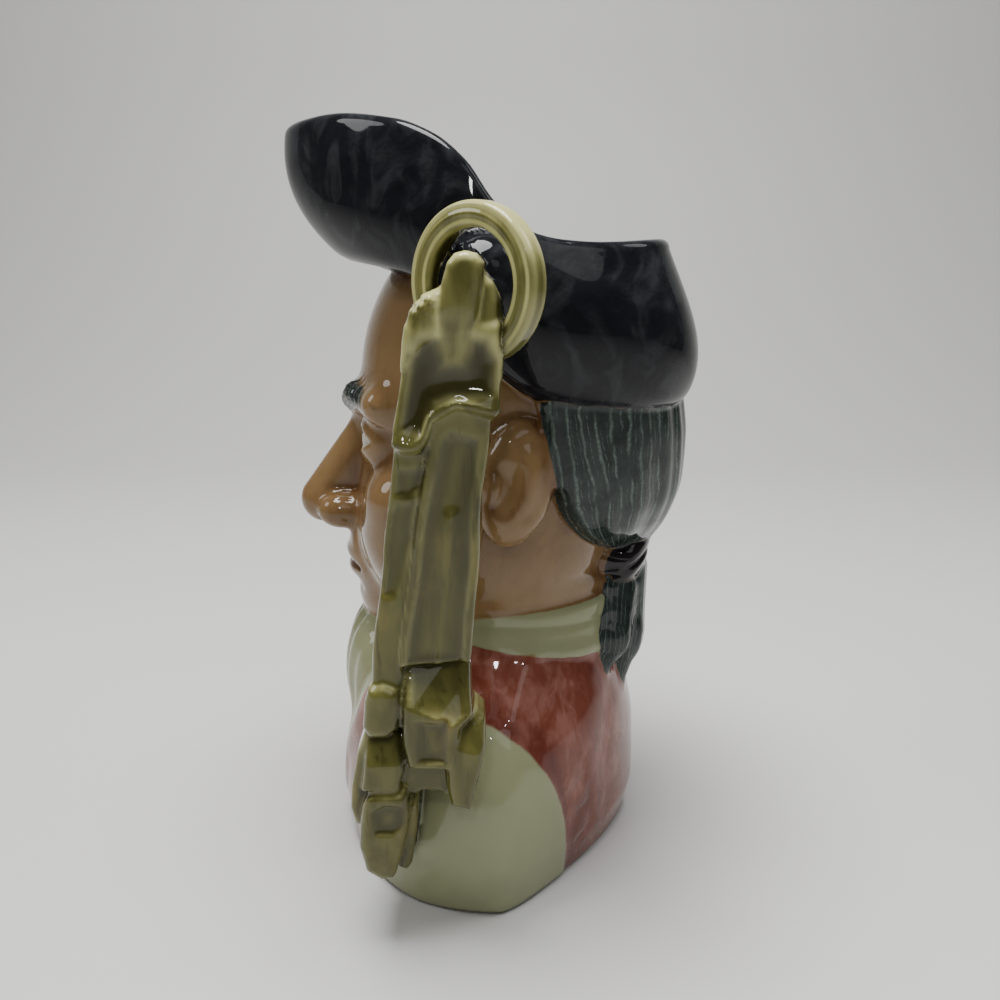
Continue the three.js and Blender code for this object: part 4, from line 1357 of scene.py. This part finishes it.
def scene_object(name):
    thing = bpy.data.objects.get(name)
    if thing is None:
        raise RuntimeError(name + " has not been made yet")
    return thing


class JUG_OT_body(bpy.types.Operator):
    """Model the hollow body: bust, head, hair, hat and the wall's inside"""
    bl_idname = "jug.body"
    bl_label = "Model the body"

    def execute(self, context):
        def field(p):
            return filled(body(p), handle(p), context.scene.jug_handle.fillet / MM)

        vertices, faces = body_mesh(context.scene.jug_body, field)
        make_object("Jug", vertices, faces)
        return {"FINISHED"}


class JUG_OT_keys(bpy.types.Operator):
    """Model the two old keys that make the grip"""
    bl_idname = "jug.keys"
    bl_label = "Model the keys"

    def execute(self, context):
        settings = context.scene.jug_handle

        def field(p):
            return filled(keys(p), body(p), settings.fillet / MM)

        vertices, quads = keys_mesh(settings.voxel / MM, field)
        make_object("Keys", vertices, quads)
        return {"FINISHED"}


class JUG_OT_ring(bpy.types.Operator):
    """Sweep the ring that the keys hang from"""
    bl_idname = "jug.ring"
    bl_label = "Sweep the ring"

    def execute(self, context):
        names = ("Radius", "Width", "Thickness", "Corner", "Ridge", "Ridge pitch")
        sizes = {name: RING[name.lower()] * MM for name in names}
        band = grown("Ring", ring_tree(), {**sizes, "Steps": context.scene.jug_handle.ring_steps})
        turn = math.radians(RING["turn"])
        axis = Vector((math.cos(turn), math.sin(turn), 0))
        upright = Vector((0, 0, 1))
        turned_round = Matrix((upright, axis.cross(upright), axis)).transposed().to_4x4()
        band.data.transform(Matrix.Translation(Vector(RING["centre"]) * MM) @ turned_round)
        return {"FINISHED"}


class JUG_OT_glaze(bpy.types.Operator):
    """Join the handle to the body and paint and glaze the jug"""
    bl_idname = "jug.glaze"
    bl_label = "Join and glaze"

    def execute(self, context):
        jug = united(scene_object("Jug"), scene_object("Keys"), scene_object("Ring"))
        array = vertex_array(jug)
        normals = np.empty(len(array) * 3)
        jug.data.vertices.foreach_get("normal", normals)
        normals = normals.reshape(-1, 3)
        write_attributes(jug, {**paint_regions(array), **surface_shading_and_flush(array, normals)})
        jug.data.materials.clear()
        jug.data.materials.append(glaze_material(context.scene.jug_glaze))
        jug.data.shade_smooth()
        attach(jug, "root")
        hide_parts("jug")
        return {"FINISHED"}


def whole_field(p):
    return np.minimum(body(p), handle(p))


def surface_shading_and_flush(array, normals):
    """How hollow or ridged the surface is, how far it faces up, and where the skin is flushed; the first
    three drive painted shade and light.
    """
    reach = 2.2
    p = points(array)
    at = whole_field(p)
    hollow = (reach - (whole_field(points(array + normals * reach)) - at)) / reach
    ridge = (whole_field(points(array - normals * reach)) - at + reach) / reach
    m = SimpleNamespace(x=np.abs(p.x), y=p.y, z=p.z)
    cheek = np.exp(-((m.x - 22) ** 2 + (m.z - 90) ** 2) / 130)
    tip = np.exp(-(m.x ** 2 + (m.z - 90) ** 2 + (m.y + 50) ** 2) / 60)
    return {
        "hollow": hollow,
        "ridge": ridge,
        "upward": normals[:, 2],
        "flush": np.clip(np.maximum(cheek, tip), 0, 1),
    }


class JUG_OT_stage(bpy.types.Operator):
    """Lay the pale floor and set the camera and the soft lights"""
    bl_idname = "jug.stage"
    bl_label = "Set the stage"

    def execute(self, context):
        settings = context.scene.jug_stage
        floor = cove_object()
        for light in LIGHTS:
            area_light(**light)
        world = bpy.data.worlds.new("Room")
        world.use_nodes = True
        background = world.node_tree.nodes["Background"]
        background.inputs["Color"].default_value = (0.80, 0.80, 0.78, 1)
        background.inputs["Strength"].default_value = 0.13
        context.scene.world = world
        camera = bpy.data.objects.new("Camera", bpy.data.cameras.new("Camera"))
        camera.data.lens = settings.lens
        camera.data.sensor_width = 36.0
        camera.data.clip_start = 0.01
        camera.location = (settings.distance, 0.0, settings.height)
        camera.rotation_euler = (math.pi / 2 - settings.pitch, 0, math.pi / 2)
        context.scene.collection.objects.link(camera)
        context.scene.camera = camera
        return {"FINISHED"}


LIGHTS = [
    {"name": "Overhead", "place": (0.03, -0.05, 0.85), "size": 0.5, "watts": 12.5},
    {"name": "Face side", "place": (0.05, -0.70, 0.60), "size": 0.35, "watts": 1.8},
    {"name": "Back side", "place": (-0.10, 0.60, 0.75), "size": 0.4, "watts": 1.4},
    {"name": "Front", "place": (0.70, 0.30, 0.75), "size": 0.5, "watts": 0.8},
    {"name": "Lamp", "place": (0.42, -0.03, 0.36), "size": 0.03, "watts": 0.22},
]


def cove_object():
    """A floor that curves up into a wall behind the jug."""
    near, wide, bend, back, top = 0.9, 1.1, 0.35, -0.45, 1.3
    profile = [(near + (back - near) * i / 12, 0.0) for i in range(13)]
    for step in range(1, 15):
        a = math.pi / 2 * step / 14
        profile.append((back - bend * math.sin(a), bend - bend * math.cos(a)))
    profile.append((back - bend, top))
    sheet = bmesh.new()
    spans = [wide * (2 * j / 16 - 1) for j in range(17)]
    rows = [[sheet.verts.new((x, y, z)) for y in spans] for x, z in profile]
    for low, high in zip(rows, rows[1:]):
        for j in range(16):
            sheet.faces.new((low[j], low[j + 1], high[j + 1], high[j]))
    mesh = bpy.data.meshes.new("Floor")
    sheet.to_mesh(mesh)
    sheet.free()
    mesh.shade_smooth()
    material = bpy.data.materials.new("Pale floor")
    material.use_nodes = True
    shader = material.node_tree.nodes["Principled BSDF"]
    shader.inputs["Base Color"].default_value = (0.62, 0.615, 0.60, 1)
    shader.inputs["Roughness"].default_value = 0.55
    mesh.materials.append(material)
    floor = bpy.data.objects.new("Floor", mesh)
    bpy.context.scene.collection.objects.link(floor)
    return floor


def area_light(name, place, size, watts):
    light = bpy.data.lights.new(name, "AREA")
    light.shape = "DISK"
    light.size = size
    light.energy = watts
    lamp = bpy.data.objects.new(name, light)
    lamp.location = place
    aim = Vector((0, 0, 0.09)) - Vector(place)
    lamp.rotation_euler = aim.to_track_quat("-Z", "Y").to_euler()
    bpy.context.scene.collection.objects.link(lamp)


class JUG_PT_sidebar(bpy.types.Panel):
    """The jug's settings and the steps that make it"""
    bl_idname = "JUG_PT_sidebar"
    bl_label = "Toby Jug"
    bl_space_type = "VIEW_3D"
    bl_region_type = "UI"
    bl_category = "Toby Jug"

    def draw(self, context):
        for group, _ in SETTINGS:
            settings = getattr(context.scene, group)
            box = self.layout.box()
            for name in settings.__annotations__:
                box.prop(settings, name)
        for operator in OPERATORS:
            self.layout.operator(operator.bl_idname)


SETTINGS = [
    ("jug_body", JugBodySettings),
    ("jug_handle", JugHandleSettings),
    ("jug_glaze", JugGlazeSettings),
    ("jug_stage", JugStageSettings),
]
OPERATORS = [JUG_OT_body, JUG_OT_keys, JUG_OT_ring, JUG_OT_glaze, JUG_OT_stage]


def register():
    for group, settings in SETTINGS:
        bpy.utils.register_class(settings)
        setattr(bpy.types.Scene, group, PointerProperty(type=settings))
    for operator in OPERATORS:
        bpy.utils.register_class(operator)
    bpy.utils.register_class(JUG_PT_sidebar)


def unregister():
    bpy.utils.unregister_class(JUG_PT_sidebar)
    for operator in reversed(OPERATORS):
        bpy.utils.unregister_class(operator)
    for group, settings in reversed(SETTINGS):
        delattr(bpy.types.Scene, group)
        bpy.utils.unregister_class(settings)


def main():
    register()
    bpy.ops.jug.body()
    bpy.ops.jug.keys()
    bpy.ops.jug.ring()
    bpy.ops.jug.glaze()
    bpy.ops.jug.stage()


if __name__ == "__main__":
    main()
